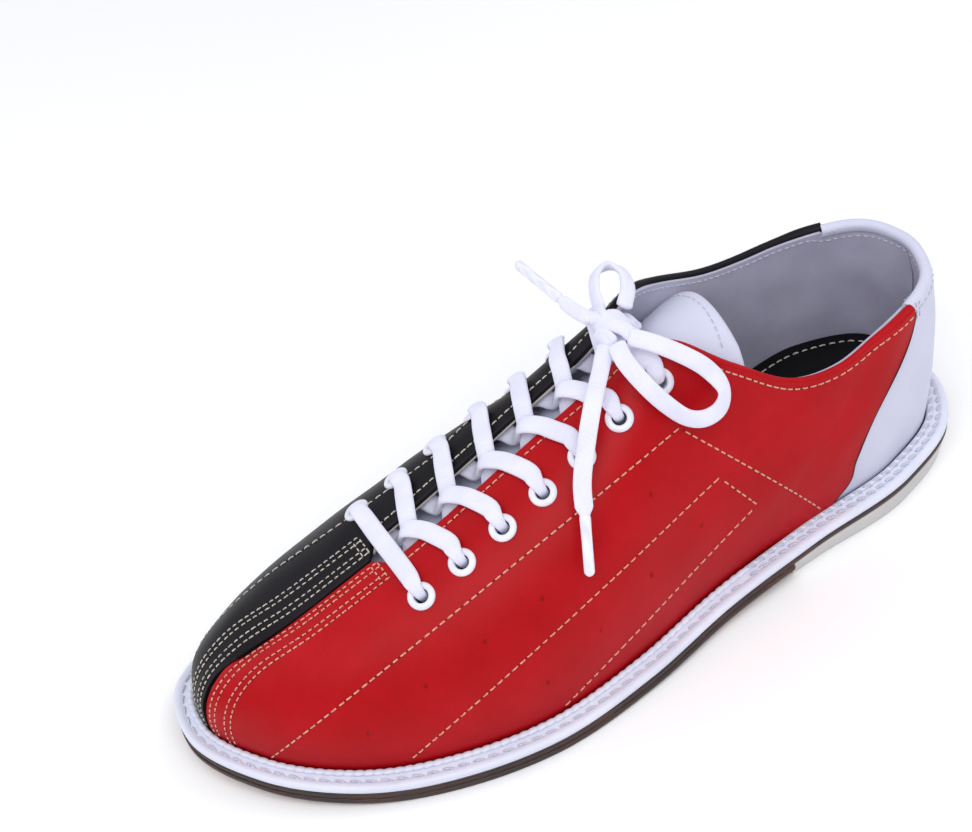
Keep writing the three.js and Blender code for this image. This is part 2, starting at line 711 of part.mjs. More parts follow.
function shank() {

	const half = 6;
	const thick = 1.2;
	const rings = [ 70, 86, 102, 118, 134, 150, 166 ].map( ( x ) => {

		const low = underside( x ) + MIDSOLE + 1.6;
		return [ [ - half, low ], [ half, low ], [ half, low + thick ], [ - half, low + thick ] ]
			.map( ( [ y, z ] ) => vec( x, y, z ) );

	} );
	return solid( new LoftGeometry( rings, { capStart: true, capEnd: true } ) );

}

// ---------------------------------------------------------------- laces

const UNDER = - 2.2; // depth of the lace's centre under a flap, and below an eyelet's rolled rim
const UNDER_EYELET = - 3.9;
const OVER = PANEL[ 1 ] + LACE_RADIUS + 0.9; // above a flap, and above an eyelet
const OVER_EYELET = 7;
const CROSS_HIGH = 6;
const CROSS_LOW = 2;
const KNOT = vec( 122.1, - 1, 110.6 );
const KNOT_RADII = vec( 6.5, 8, 5.5 );
const TO_KNOT_X = 113; // where both strands come up out of the gap, just behind the knot
const AGLET_RADIUS = 1.7;

// Point over the middle line: x along, across from the line, at a depth from the lining's inner face.
function overGap( x, across, depth ) {

	const base = vec( x, ridgeY( x ) + across, ridgeZ( x ) );
	const slopeX = ( ridgeZ( x + 1 ) - ridgeZ( x - 1 ) ) / 2;
	return base.addScaledVector( vec( - slopeX, 0, 1 ).normalize(), depth );

}

// Point on a flap near an eyelet: distance from the flap's edge, depth and shift along the shoe.
function flapPoint( side, number, fromEdge, depth, shift ) {

	const { u, t } = onFlap( side, FIRST_EYELET - number * EYELET_PITCH + shift, FLAP_GAP + fromEdge );
	return skin( u, t, depth );

}

// Point by an eyelet: straight towards its flap's edge, then at a depth.
function byEyelet( { base, axis }, towardEdge, depth ) {

	const uphill = vec( 1, 0, 0 ).cross( axis ).setLength( Math.sign( axis.y ) );
	return base.clone().addScaledVector( uphill, towardEdge ).addScaledVector( axis, depth );

}

// Down through an eyelet and along the inside of its flap to the gap.
function under( side, number, shift ) {

	const place = eyelets[ side > 0 ? 'lateral' : 'medial' ][ number ];
	return [
		byEyelet( place, 0, 1.2 ),
		byEyelet( place, - 0.3, - 2.3 ),
		byEyelet( place, 1.2, UNDER_EYELET ),
		byEyelet( place, 4.8, UNDER_EYELET ),
		flapPoint( side, number, 4, UNDER, shift ),
	];

}

// From one side's eyelet under its flap, up through the gap and over to the other side's next eyelet.
function crossing( side, number, middleDepth ) {

	const x = FIRST_EYELET - ( number + 0.5 ) * EYELET_PITCH;
	const next = eyelets[ side > 0 ? 'medial' : 'lateral' ][ number + 1 ];
	return [
		...under( side, number, - 2 ),
		overGap( x + 4, side * 4.6, UNDER ),
		overGap( x, 0, middleDepth ),
		flapPoint( - side, number + 1, 0.5, OVER, 4.5 ),
		flapPoint( - side, number + 1, 5, OVER, 2.5 ),
		byEyelet( next, 6, OVER_EYELET ),
		byEyelet( next, 1.2, OVER_EYELET + 0.3 ),
		byEyelet( next, - 0.4, 4.7 ),
	];

}

// The bar at the throat lies straight across, from one first eyelet to the other.
function bar() {

	const [ lateral, medial ] = [ eyelets.lateral[ 0 ], eyelets.medial[ 0 ] ];
	const x = FIRST_EYELET;
	return [
		byEyelet( lateral, - 0.4, 4.7 ), byEyelet( lateral, 1.2, OVER_EYELET + 0.3 ), byEyelet( lateral, 6, OVER_EYELET ),
		overGap( x, 5, OVER ), overGap( x, - 5, OVER ),
		byEyelet( medial, 6, OVER_EYELET ), byEyelet( medial, 1.2, OVER_EYELET + 0.3 ), byEyelet( medial, - 0.4, 4.7 ),
	];

}

// From the last eyelet under its flap and up behind the knot.
const toKnot = ( side ) => [
	...under( side, EYELETS - 1, - 2 ),
	overGap( TO_KNOT_X, side * 4.2, - 2 ),
	KNOT.clone().add( vec( - 7.6, side * 3.2, - 5 ) ),
];

// Criss-cross run: two strands from the bar at the throat, passing each other in the gap at every step.
function lacing() {

	const strand = ( first ) => {

		const steps = numbers.slice( 0, - 1 ).map( ( n ) => {

			const side = n % 2 === 0 ? first : - first;
			return crossing( side, n, side > 0 ? CROSS_LOW : CROSS_HIGH );

		} );
		return [ ...steps.flat(), ...toKnot( EYELETS % 2 === 0 ? - first : first ) ];

	};

	return cord( [ ...strand( 1 ).reverse(), ...bar(), ...strand( - 1 ) ] );

}

function knot() {

	const ball = new THREE.SphereGeometry( 1, 12, 8 ).scale( ...KNOT_RADII.toArray() );
	return solid( ball.translate( ...KNOT.toArray() ) );

}

const route = ( points ) => points.map( ( p ) => vec( ...p ) );
const LOOP_LATERAL = route( [
	[ 121, 9, 112.7 ], [ 116.5, 13.7, 111.2 ], [ 109.6, 20.4, 106.7 ], [ 103.8, 25.6, 100.4 ], [ 101.2, 30, 92.7 ],
	[ 104.5, 31.6, 87.7 ], [ 110, 31.6, 86.7 ], [ 115.5, 30.4, 89.2 ], [ 121, 27.5, 96.2 ], [ 125.5, 22, 104.7 ],
	[ 127.5, 15, 110.7 ], [ 126.5, 9, 112.2 ],
] );
const LOOP_MEDIAL = route( [
	[ 121.6, - 10, 111.6 ], [ 120.1, - 15, 114.6 ], [ 116.1, - 20.5, 116.6 ], [ 110.6, - 22.5, 115.6 ],
	[ 107.1, - 19, 113.6 ], [ 108.6, - 13.5, 111.6 ], [ 113.6, - 7.8, 110.3 ],
] );
const TAIL_LATERAL = route( [
	[ 128.6, 4.5, 109.6 ], [ 133.6, 9.5, 107.1 ], [ 141.1, 16, 102.1 ], [ 149.6, 24, 95.1 ], [ 157.1, 31.5, 86.6 ],
	[ 160.6, 37, 79.1 ],
] );
const TAIL_MEDIAL = route( [ [ 127.6, - 6.5, 113.6 ], [ 130.6, - 11, 116.1 ], [ 132.1, - 16, 117.9 ] ] );
const AGLET_LENGTH = 19;

// Plastic tip that carries on from the end of a tail.
function aglet( tail ) {

	const [ before, end ] = tail.slice( - 2 );
	const along = end.clone().sub( before ).normalize();
	const middle = end.clone().addScaledVector( along, GAP + AGLET_LENGTH / 2 );
	return pegHole( AGLET_RADIUS, middle, along, AGLET_LENGTH );

}

const group = new THREE.Group();

function add( name, body, color, roughness, metalness = 0 ) {

	const material = new THREE.MeshStandardMaterial( { color, roughness, metalness } );
	const mesh = new THREE.Mesh( geometryOf( body ), material );
	mesh.name = name;
	group.add( mesh );

}

const RED = 0xb41420;
const BLACK = 0x1c1c20;
const WHITE = 0xe6e6f0;
const GREY = 0x8e8c9e;

add( 'lateral_panel', panel( 'lateral' ), RED, 0.45 );
add( 'medial_panel', panel( 'medial' ), BLACK, 0.5 );
add( 'lining_lateral', lining( 'lateral' ), GREY, 0.85 );
add( 'lining_medial', lining( 'medial' ), GREY, 0.85 );
add( 'interlining_lateral', interlining( 'lateral' ), 0xd8d2c4, 0.95 );
add( 'interlining_medial', interlining( 'medial' ), 0xd8d2c4, 0.95 );
add( 'eyestay_reinforcement_lateral', eyeletStay( 'lateral' ), 0xcfc6b2, 0.95 );
add( 'eyestay_reinforcement_medial', eyeletStay( 'medial' ), 0xcfc6b2, 0.95 );
add( 'heel_counter', heelCounter(), 0xb89b74, 0.9 );
add( 'toe_puff', toePuff(), 0xb89b74, 0.9 );
add( 'heel_foxing', heelFoxing(), WHITE, 0.5 );
add( 'tongue', tongueSheet( TONGUE_LEATHER ), WHITE, 0.55 );
add( 'tongue_lining', tongueSheet( TONGUE_LINING ), GREY, 0.85 );
for ( const side of [ 'lateral', 'medial' ] ) {

	eyelets[ side ].forEach( ( place, n ) => add( `eyelet_${ side }_${ n + 1 }`, eyelet( place ), WHITE, 0.35, 0.2 ) );

}

add( 'welt', welt(), WHITE, 0.6 );
add( 'welt_bead', weltBead(), WHITE, 0.6 );
add( 'midsole', midsole(), 0x2a1c18, 0.7 );
add( 'slide_sole', slideSole(), 0x9c6a50, 0.95 );
add( 'heel_block', heelBlock(), 0xd8d4cc, 0.75 );
add( 'heel_tap', heelTap(), 0xd8d4cc, 0.75 );
add( 'insole_board', insoleBoard(), 0xb08c62, 0.95 );
add( 'sock_liner', sockLiner(), 0x1a1a1c, 0.8 );
add( 'cork_filler', corkFiller(), 0xb98d5c, 1 );
add( 'heel_seat_pad', seatPad(), 0xd0c4a8, 1 );
add( 'shank', shank(), 0x9aa0a6, 0.35, 0.9 );
NAILS.forEach( ( place, n ) => add( `heel_nail_${ n + 1 }`, heelNail( place ), 0xa0a4a8, 0.4, 0.9 ) );

add( 'lace_run', lacing(), WHITE, 0.9 );
add( 'lace_knot', knot(), WHITE, 0.9 );
add( 'lace_loop_lateral', cord( LOOP_LATERAL, 2 ), WHITE, 0.9 );
add( 'lace_loop_medial', cord( LOOP_MEDIAL, 2 ), WHITE, 0.9 );
add( 'lace_tail_lateral', cord( TAIL_LATERAL, 2 ), WHITE, 0.9 );
add( 'lace_tail_medial', cord( TAIL_MEDIAL, 2 ), WHITE, 0.9 );
add( 'aglet_lateral', aglet( TAIL_LATERAL ), WHITE, 0.3 );
add( 'aglet_medial', aglet( TAIL_MEDIAL ), WHITE, 0.3 );

const plan = new THREE.Box3().setFromPoints( [ 0, ...COLUMNS, 0.5, ...medialColumns( 0, 0.5 ) ].map( ( u ) => edgePoint( u ) ) );
group.position.set( - ( plan.min.x + plan.max.x ) / 2, - ( plan.min.y + plan.max.y ) / 2, 0 );

export default group;
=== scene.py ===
"""Looks of a left bowling shoe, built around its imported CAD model.

Lengths are worked out in millimetres in the shoe's own frame: x from the heel's back to the toe, y towards
the outer (lateral) side and z up. place() turns them into metres in the row's frame.
"""
import json
import math

import bmesh
import bpy
import numpy as np
from mathutils import Matrix, Vector


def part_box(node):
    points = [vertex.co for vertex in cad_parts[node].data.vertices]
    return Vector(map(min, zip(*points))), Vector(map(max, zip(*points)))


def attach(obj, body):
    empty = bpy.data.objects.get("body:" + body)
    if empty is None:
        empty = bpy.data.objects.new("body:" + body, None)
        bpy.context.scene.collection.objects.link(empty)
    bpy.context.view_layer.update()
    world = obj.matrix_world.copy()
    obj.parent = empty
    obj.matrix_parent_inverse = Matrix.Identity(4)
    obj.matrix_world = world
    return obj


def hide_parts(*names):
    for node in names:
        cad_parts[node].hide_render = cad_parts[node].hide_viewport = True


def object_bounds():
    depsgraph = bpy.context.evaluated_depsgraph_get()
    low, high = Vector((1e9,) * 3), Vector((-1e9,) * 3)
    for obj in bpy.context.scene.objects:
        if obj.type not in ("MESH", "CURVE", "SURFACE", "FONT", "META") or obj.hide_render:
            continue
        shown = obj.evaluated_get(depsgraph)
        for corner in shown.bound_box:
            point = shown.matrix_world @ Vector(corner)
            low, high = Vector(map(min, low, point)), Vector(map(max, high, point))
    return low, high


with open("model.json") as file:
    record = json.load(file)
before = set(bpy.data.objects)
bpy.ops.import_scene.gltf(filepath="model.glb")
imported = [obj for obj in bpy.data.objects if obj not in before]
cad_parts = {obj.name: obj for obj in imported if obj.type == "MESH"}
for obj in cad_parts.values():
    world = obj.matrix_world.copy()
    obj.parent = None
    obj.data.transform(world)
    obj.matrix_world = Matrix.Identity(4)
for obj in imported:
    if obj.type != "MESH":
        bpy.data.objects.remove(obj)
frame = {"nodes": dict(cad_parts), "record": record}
CAD_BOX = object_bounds()

MM = 0.001
RNG = np.random.default_rng(11)

# ---------------------------------------------------------------- driving dimensions, as in the CAD model

LENGTH = 297.0
LATERAL_EDGE = [
    (0, 0), (10, 22.5), (36, 36), (78, 40), (117, 44.5), (154, 52.5), (194, 56), (231, 48.5), (260, 35),
    (284, 14),
]
TOE_TIP = (LENGTH, -12)
MEDIAL_EDGE = [
    (292, -36), (270, -52.5), (238, -60.5), (205, -58.5), (165, -45), (125, -36), (82, -35.5), (38, -37),
    (10, -23),
]
BALL_UNDERSIDE = 2.6
HEEL_LIFT = 8.8
TOE_SPRING = 7.9
BALL_REAR = 195
BALL_FRONT = 235
HEEL_CENTRE = 20
FEATHER = 6.6
FEATHER_INSET = 12
HEEL_FRONT = 88
GAP = 0.3
PANEL_IN = 2.4
PANEL_OUT = 3.9
THROAT = 221
FLAP_GAP = 6
SEAM_GAP = 0.25
SEAM_REACH = 12
HEEL_SEAM_REACH = 30
COLLAR_CORNER = 0.262
EYELETS = 7
FIRST_EYELET = 213.5
EYELET_PITCH = 16.1
EYELET_HOLE = 3.0
EYELET_ACROSS = {1: [(0, 21.5), (3, 22.5), (6, 17.6)], -1: [(0, 21.5), (3, 20), (6, 15.8)]}

RIM = [
    (0, 10, 0, 88), (0.06, 17, 18, 88), (0.12, 43, 27, 86), (0.17, 68, 26, 87), (0.215, 92, 17, 101),
    (0.25, 112, 6, 103.4), (0.28, 131, 0, 93), (0.31, 153, -3, 83), (0.345, 180, -4, 72),
    (0.38, 206, -4, 62.5), (0.42, 231, -5, 54), (0.46, 252, -7, 46), (0.5, 270, -11, 38),
    (0.54, 252, -7, 46), (0.58, 231, -5, 54), (0.62, 206, -4, 62.5), (0.655, 180, -4, 72),
    (0.69, 153, -5, 83), (0.72, 131, -7, 93), (0.75, 112, -13, 104), (0.785, 92, -22, 103),
    (0.83, 68, -27, 93), (0.88, 43, -27, 86), (0.94, 17, -18, 88),
]
WALL_LEAN = [(0, 12), (0.12, 10), (0.25, 8), (0.38, 10), (0.5, 10)]
RIM_ELEVATION = [
    (0, 108), (0.06, 104), (0.12, 96), (0.17, 88), (0.215, 66), (0.25, 38), (0.28, 20), (0.31, 10),
    (0.38, 4), (0.5, 4),
]
LOWER_REACH = [(0, 0.36), (0.12, 0.38), (0.25, 0.40), (0.38, 0.45), (0.5, 0.62)]
UPPER_REACH = [(0, 0.34), (0.12, 0.36), (0.215, 0.45), (0.28, 0.60), (0.38, 0.62), (0.5, 0.60)]
LATERAL_COLLAR = [
    (0, 84), (0.06, 83.5), (0.12, 81), (0.148, 77.5), (0.178, 79.5), (0.21, 93), (0.234, 103), (0.262, 110),
]
MEDIAL_COLLAR = [
    (0, 84), (0.06, 84), (0.12, 83.5), (0.148, 84), (0.178, 88), (0.21, 97.5), (0.234, 105), (0.262, 111),
]
RIDGE = [
    (112, -3.5, 101), (131, -3.5, 93), (153, -4, 83), (180, -4, 72), (206, -4, 62.5), (231, -5, 54),
    (252, -7, 46), (270, -11, 38), (LENGTH, -12, 15),
]

# ---------------------------------------------------------------- interpolation


def smoothstep(value, low, high):
    share = np.clip((np.asarray(value, float) - low) / (high - low), 0, 1)
    return share * share * (3 - 2 * share)


def through(keys, place, period=None):
    """Smooth curve through keys (place, *values) at many places; it wraps round when period is given."""
    table = np.array(keys, float)
    knots, values = table[:, 0], table[:, 1:]
    at = np.atleast_1d(np.asarray(place, float))
    if period:
        at = np.mod(at, period)
        knots = np.concatenate([knots[-2:] - period, knots, knots[:2] + period])
        values = np.concatenate([values[-2:], values, values[:2]])
    steps = np.diff(knots)
    slopes = np.diff(values, axis=0) / steps[:, None]
    turns = np.empty_like(values)
    turns[0], turns[-1] = slopes[0], slopes[-1]
    before, after = steps[:-1, None], steps[1:, None]
    turns[1:-1] = (slopes[:-1] * after + slopes[1:] * before) / (before + after)
    i = np.clip(np.searchsorted(knots, at, side="right") - 1, 0, len(knots) - 2)
    t = np.clip((at - knots[i]) / steps[i], 0, 1)[:, None]
    span = steps[i][:, None]
    rise = (values[i + 1] - values[i]) * t * t * (3 - 2 * t)
    return values[i] + rise + turns[i] * span * t * (1 - t) ** 2 - turns[i + 1] * span * t * t * (1 - t)


def value_at(keys, place):
    """The first value of through(), as a plain array."""
    return through(keys, place)[:, 0]


def mirrored(keys, u):
    """One half of a symmetric setting, at any share of the edge."""
    return value_at(keys, np.minimum(np.mod(u, 1), 1 - np.mod(u, 1)))


def folded(u):
    """Shares of the edge as they count from the heel on either side, 0 to 0.5."""
    return np.where(u > 0.5, 1 - u, u)


def unit(vectors):
    return vectors / np.maximum(np.linalg.norm(vectors, axis=-1, keepdims=True), 1e-9)


def run_along(points):
    """Distance along a line from its first point to each."""
    return np.concatenate([[0], np.cumsum(np.linalg.norm(np.diff(points, axis=0), axis=1))])


def even_turns(count):
    return np.arange(count) * 2 * math.pi / count


def bisect(rising, low, high, steps=28):
    """Where each of many rising functions reaches zero, between two arrays."""
    low, high = np.array(low, float), np.array(high, float)
    for _ in range(steps):
        middle = (low + high) / 2
        below = rising(middle) < 0
        low = np.where(below, middle, low)
        high = np.where(below, high, middle)
    return (low + high) / 2


# ---------------------------------------------------------------- the shoe's surfaces


def outline_keys():
    points = np.array([*LATERAL_EDGE, TOE_TIP, *MEDIAL_EDGE], float)
    run = run_along(np.vstack([points, points[:1]]))
    toe = len(LATERAL_EDGE)
    first = 0.5 * run[: toe + 1] / run[toe]
    second = 0.5 + 0.5 * (run[toe + 1 : -1] - run[toe]) / (run[-1] - run[toe])
    return np.column_stack([np.concatenate([first, second]), points])


OUTLINE = outline_keys()
STEP = 1e-4
UP = np.array([0.0, 0.0, 1.0])


def outward(u):
    u = np.atleast_1d(np.asarray(u, float))
    along = through(OUTLINE, u + STEP, 1) - through(OUTLINE, u - STEP, 1)
    return unit(np.column_stack([-along[:, 1], along[:, 0], np.zeros(len(along))]))


def underside(x):
    x = np.asarray(x, float)
    spring = np.clip((x - BALL_FRONT) / 62, 0, None) ** 1.8
    return BALL_UNDERSIDE + HEEL_LIFT * (1 - smoothstep(x, HEEL_CENTRE, BALL_REAR)) + TOE_SPRING * spring


def x_of(u):
    return through(OUTLINE, u, 1)[:, 0]


def edge_point(u, inset=0.0, height=0.0):
    u = np.atleast_1d(np.asarray(u, float))
    flat = np.column_stack([through(OUTLINE, u, 1), np.zeros(len(u))])
    flat = flat - outward(u) * np.reshape(inset, (-1, 1))
    flat[:, 2] = underside(flat[:, 0]) + height
    return flat


def wall(u, t):
    """Point of the lining's inner face: u round the shoe, t from the insole (0) to the rim (1)."""
    u = np.atleast_1d(np.asarray(u, float))
    t = (np.asarray(t, float) * np.ones(len(u)))[:, None]
    foot = edge_point(u, FEATHER_INSET, FEATHER)
    top = through(RIM, u, 1)
    rise = top[:, 2] - foot[:, 2]
    inward = (top - foot) * (1, 1, 0)
    reach = np.linalg.norm(inward, axis=1)
    lean = np.radians(mirrored(WALL_LEAN, u))[:, None]
    finish = np.radians(mirrored(RIM_ELEVATION, u))[:, None]
    low = np.sin(lean) * outward(u) + np.cos(lean) * UP
    high = np.cos(finish) * unit(inward) + np.sin(finish) * UP
    span = reach * np.abs(np.cos(finish[:, 0])) + rise * np.abs(np.sin(finish[:, 0]))
    lift = foot + low * (mirrored(LOWER_REACH, u) * rise)[:, None]
    hang = top - high * (mirrored(UPPER_REACH, u) * span)[:, None]
    rest = 1 - t
    return rest**3 * foot + 3 * t * rest**2 * lift + 3 * t * t * rest * hang + t**3 * top


def wall_normal(u, t):
    u = np.atleast_1d(np.asarray(u, float))
    t = np.asarray(t, float) * np.ones(len(u))
    along = wall(u + STEP, t) - wall(u - STEP, t)
    upward = wall(u, np.minimum(1, t + STEP)) - wall(u, np.maximum(0, t - STEP))
    return unit(np.cross(upward, along))


def ridge_y(x):
    return value_at([(k[0], k[1]) for k in RIDGE], x)


def ridge_z(x):
    return value_at([(k[0], k[2]) for k in RIDGE], x)


def aside(side, points):
    """How far points lie on a side of the middle line."""
    return side * (points[:, 1] - ridge_y(points[:, 0]))


def half_opening(x):
    return FLAP_GAP + (SEAM_GAP - FLAP_GAP) * smoothstep(x, THROAT - FLAP_GAP, THROAT)


def beside_seam(u, base, away):
    """Keeps points on their own side of the heel and toe seams, the layers never leaning across."""
    side = np.where(u > 0.5, -1.0, 1.0)
    near_heel = base[:, 0] < HEEL_SEAM_REACH
    seam = np.where(near_heel, 0.0, ridge_y(base[:, 0]))
    across = side * (base[:, 1] - seam)
    held = near_heel | (base[:, 0] > THROAT - FLAP_GAP)
    base[:, 1] = np.where(held, seam + side * np.maximum(across, SEAM_GAP), base[:, 1])
    leaning = held & (across < SEAM_REACH)
    away[:, 1] = np.where(leaning, side * np.maximum(side * away[:, 1], 0), away[:, 1])
    return base, away


def skin(u, t, depth, seamed=False):
    """Points at a depth outward from the lining's inner face; t and depth may be arrays."""
    u = np.atleast_1d(np.asarray(u, float))
    base, away = wall(u, t), wall_normal(u, t)
    if seamed:
        base, away = beside_seam(u, base, away)
    return base + away * np.reshape(depth, (-1, 1))


TAP_LOW, TAP_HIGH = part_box("heel_tap")
HEEL_TAP_REAR = 22
HEEL_TAP_FRONT = 72
HEEL_TAP_HALF = 19
HEEL_TAP_CENTRE = HEEL_TAP_REAR + HEEL_TAP_HALF
SHIFT = np.array([TAP_HIGH.x / MM - HEEL_TAP_FRONT + GAP, (TAP_LOW.y + TAP_HIGH.y) / 2 / MM, 0])


def place(points):
    """Millimetres in the shoe's frame to metres in the row's frame."""
    return (np.asarray(points, float) + SHIFT) * MM


# ---------------------------------------------------------------- meshes


SHARP = math.radians(50)


def mesh_of(name, shape):
    """A mesh from a shape, which is its points in millimetres and its faces."""
    points, faces = shape
    mesh = bpy.data.meshes.new(name)
    mesh.from_pydata([tuple(p) for p in place(points)], [], [tuple(int(i) for i in f) for f in faces])
    return mesh


def add_object(name, data):
    made = bpy.data.objects.new(name, data)
    bpy.context.scene.collection.objects.link(made)
    return made


def add_piece(name, shape, material, node=None, body="shoe", cutter=None):
    """A piece of a shape, less its doubled points and empty faces; it stands for a node if one is given."""
    mesh = mesh_of(name, shape)
    work = bmesh.new()
    work.from_mesh(mesh)
    bmesh.ops.remove_doubles(work, verts=work.verts, dist=2e-6)
    bmesh.ops.dissolve_degenerate(work, edges=work.edges, dist=1e-6)
    bmesh.ops.recalc_face_normals(work, faces=work.faces)
    work.to_mesh(mesh)
    work.free()
    mesh.polygons.foreach_set("use_smooth", [True] * len(mesh.polygons))
    mesh.set_sharp_from_angle(angle=SHARP)
    mesh.materials.append(material)
    piece = add_object(name, mesh)
    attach(piece, body)
    if cutter:
        carve(piece, cutter)
    if node:
        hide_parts(node)
    return piece


def carve(piece, shape):
    """Cuts a closed shape out of a piece."""
    cutter = add_object("cutter", mesh_of("cutter", shape))
    cut = piece.modifiers.new("cut", "BOOLEAN")
    cut.operation = "DIFFERENCE"
    cut.object = cutter
    cut.solver = "EXACT"
    bpy.context.view_layer.update()
    evaluated = piece.evaluated_get(bpy.context.evaluated_depsgraph_get())
    carved = bpy.data.meshes.new_from_object(evaluated)
    piece.modifiers.remove(cut)
    piece.data = carved
    carved.name = piece.name
    carved.set_sharp_from_angle(angle=SHARP)
    bpy.data.objects.remove(cutter)


def loft(rings, closed=False, caps=True):
    """The shape through equal rings of points; a cap joins the first half of its ring to the last."""
    rings = np.asarray(rings, float)
    count, across = rings.shape[:2]
    faces = []
    last = count if closed else count - 1
    for i in range(last):
        k = (i + 1) % count
        for j in range(across):
            m = (j + 1) % across
            faces.append((i * across + j, i * across + m, k * across + m, k * across + j))
    if caps and not closed:
        for i in (0, count - 1):
            start = i * across
            for j in range((across - 1) // 2):
                corners = [j, j + 1, across - 2 - j, across - 1 - j]
                faces.append([start + c for c in dict.fromkeys(corners)])
    return rings.reshape(-1, 3), faces


def tube(rings):
    """A loft closed by one flat face at each end."""
    points, faces = loft(rings, caps=False)
    across = len(rings[0])
    return points, faces + [list(range(across))[::-1], list(range(len(points) - across, len(points)))]


def joined(parts):
    """One list of points and faces from several."""
    points, faces, start = [], [], 0
    for p, f in parts:
        points.append(np.asarray(p, float))
        faces.extend([[i + start for i in face] for face in f])
        start += len(p)
    return np.vstack(points), faces


def resample(points, spacing, *others):
    """Smooth curve through the points at an even spacing, with other values carried along."""
    points = np.asarray(points, float)
    chords = np.linalg.norm(np.diff(points, axis=0), axis=1)
    run = np.concatenate([[0], np.cumsum(np.sqrt(chords))])
    table = [points] + [np.asarray(o, float).reshape(len(points), -1) for o in others]
    keys = np.column_stack([run] + table)
    fine = through(keys, np.linspace(0, run[-1], max(len(points) * 12, 40)))
    length = run_along(fine[:, :3])
    at = np.linspace(0, length[-1], max(int(length[-1] / spacing), 3) + 1)
    even = np.column_stack([np.interp(at, length, fine[:, c]) for c in range(fine.shape[1])])
    pieces, start = [], 0
    for part in table:
        pieces.append(even[:, start : start + part.shape[1]])
        start += part.shape[1]
    return pieces


def ribbon(points, normals, widths, heights, sides=16, rounded_ends=True, square=0.8):
    """A flat, soft-edged strip along points, its flat side facing the normals or one common normal."""
    along = unit(np.gradient(points, axis=0))
    normals = normals - along * np.sum(normals * along, axis=1, keepdims=True)
    normals = unit(normals)
    across = np.cross(along, normals)
    turn = even_turns(sides)
    wide = np.sign(np.cos(turn)) * np.abs(np.cos(turn)) ** square
    high = np.sign(np.sin(turn)) * np.abs(np.sin(turn)) ** square
    widths = np.reshape(widths, (-1, 1, 1)) / 2
    heights = np.reshape(heights, (-1, 1, 1)) / 2
    rings = points[:, None] + across[:, None] * wide[None, :, None] * widths
    rings = rings + normals[:, None] * high[None, :, None] * heights
    if rounded_ends:
        shrink = np.array([0.25, 0.7, 0.92])
        reach = np.array([1.0, 0.7, 0.35]) * float(heights[0, 0, 0])
        first = [points[0] - along[0] * r + (rings[0] - points[0]) * s for r, s in zip(reach, shrink)]
        end = [points[-1] + along[-1] * r + (rings[-1] - points[-1]) * s for r, s in zip(reach, shrink)]
        rings = np.concatenate([first, rings, end[::-1]])
    return tube(rings)


STITCH_SINK = 0.3
STITCH_GRAIN = 0.4
STITCH_JITTER = 0.08


def stitch(start, end, normal, radius):
    """One stitch of thread: it rises out of the leather, lies flat and dips in again."""
    shares = np.array([0.0, 0.1, 0.28, 0.5, 0.72, 0.9, 1.0])
    lift = np.array([-1.0, -0.1, 0.42, 0.5, 0.42, -0.1, -1.0])
    points = start + (end - start) * shares[:, None] + normal * (lift * radius)[:, None]
    points[[0, -1]] -= normal * STITCH_SINK
    size = radius * 2 * np.array([0.6, 0.9, 1.0, 1.0, 1.0, 0.9, 0.6])
    return ribbon(points, normal, size, size * 0.85, sides=6, rounded_ends=False, square=1)


def stitch_row(points, normals, pitch, radius, cover=0.78, holes=None):
    """Stitches along a line on a surface, each covering a share of its pitch.

    Flat dark marks of painted shade, standing for the needle holes between them, are added to holes.
    """
    line, up = resample(points, STITCH_GRAIN, normals)
    up = unit(up)
    run = np.arange(len(line)) * STITCH_GRAIN
    stitches = []
    for begin in np.arange(0, run[-1] - pitch * cover, pitch):
        ends = np.array([begin, begin + pitch * cover]) + RNG.uniform(-STITCH_JITTER, STITCH_JITTER, 2)
        a, b = np.minimum(np.searchsorted(run, ends), len(line) - 1)
        stitches.append(stitch(line[a], line[b], up[(a + b) // 2], radius))
        # the needle holes are flat dark marks: painted shade, not holes cut in the leather
        if holes is not None:
            onward = unit(line[b] - line[a])
            gap = line[b] + onward * pitch * (1 - cover) / 2
            holes.append(ribbon(gap + onward * np.array([[-0.3], [0.0], [0.3]]), up[b], 0.55, 0.22, sides=6))
    return stitches


def sewn(places, depth, spacing=2.0, lift=None, inward=False, **look):
    """Stitches along (u, t) places, at a depth in the upper; lift gives what each place adds to the depth."""
    places = np.asarray(places, float)
    run = run_along(skin(places[:, 0], places[:, 1], depth, seamed=True))
    count = max(int(run[-1] / spacing), 2)
    even = through(np.column_stack([run, places]), np.linspace(0, run[-1], count + 1))
    points = skin(even[:, 0], even[:, 1], depth, seamed=True)
    normals = wall_normal(even[:, 0], even[:, 1])
    if lift is not None:
        points = points + normals * lift(even)[:, None]
    return stitch_row(points, -normals if inward else normals, **look)


# ---------------------------------------------------------------- materials


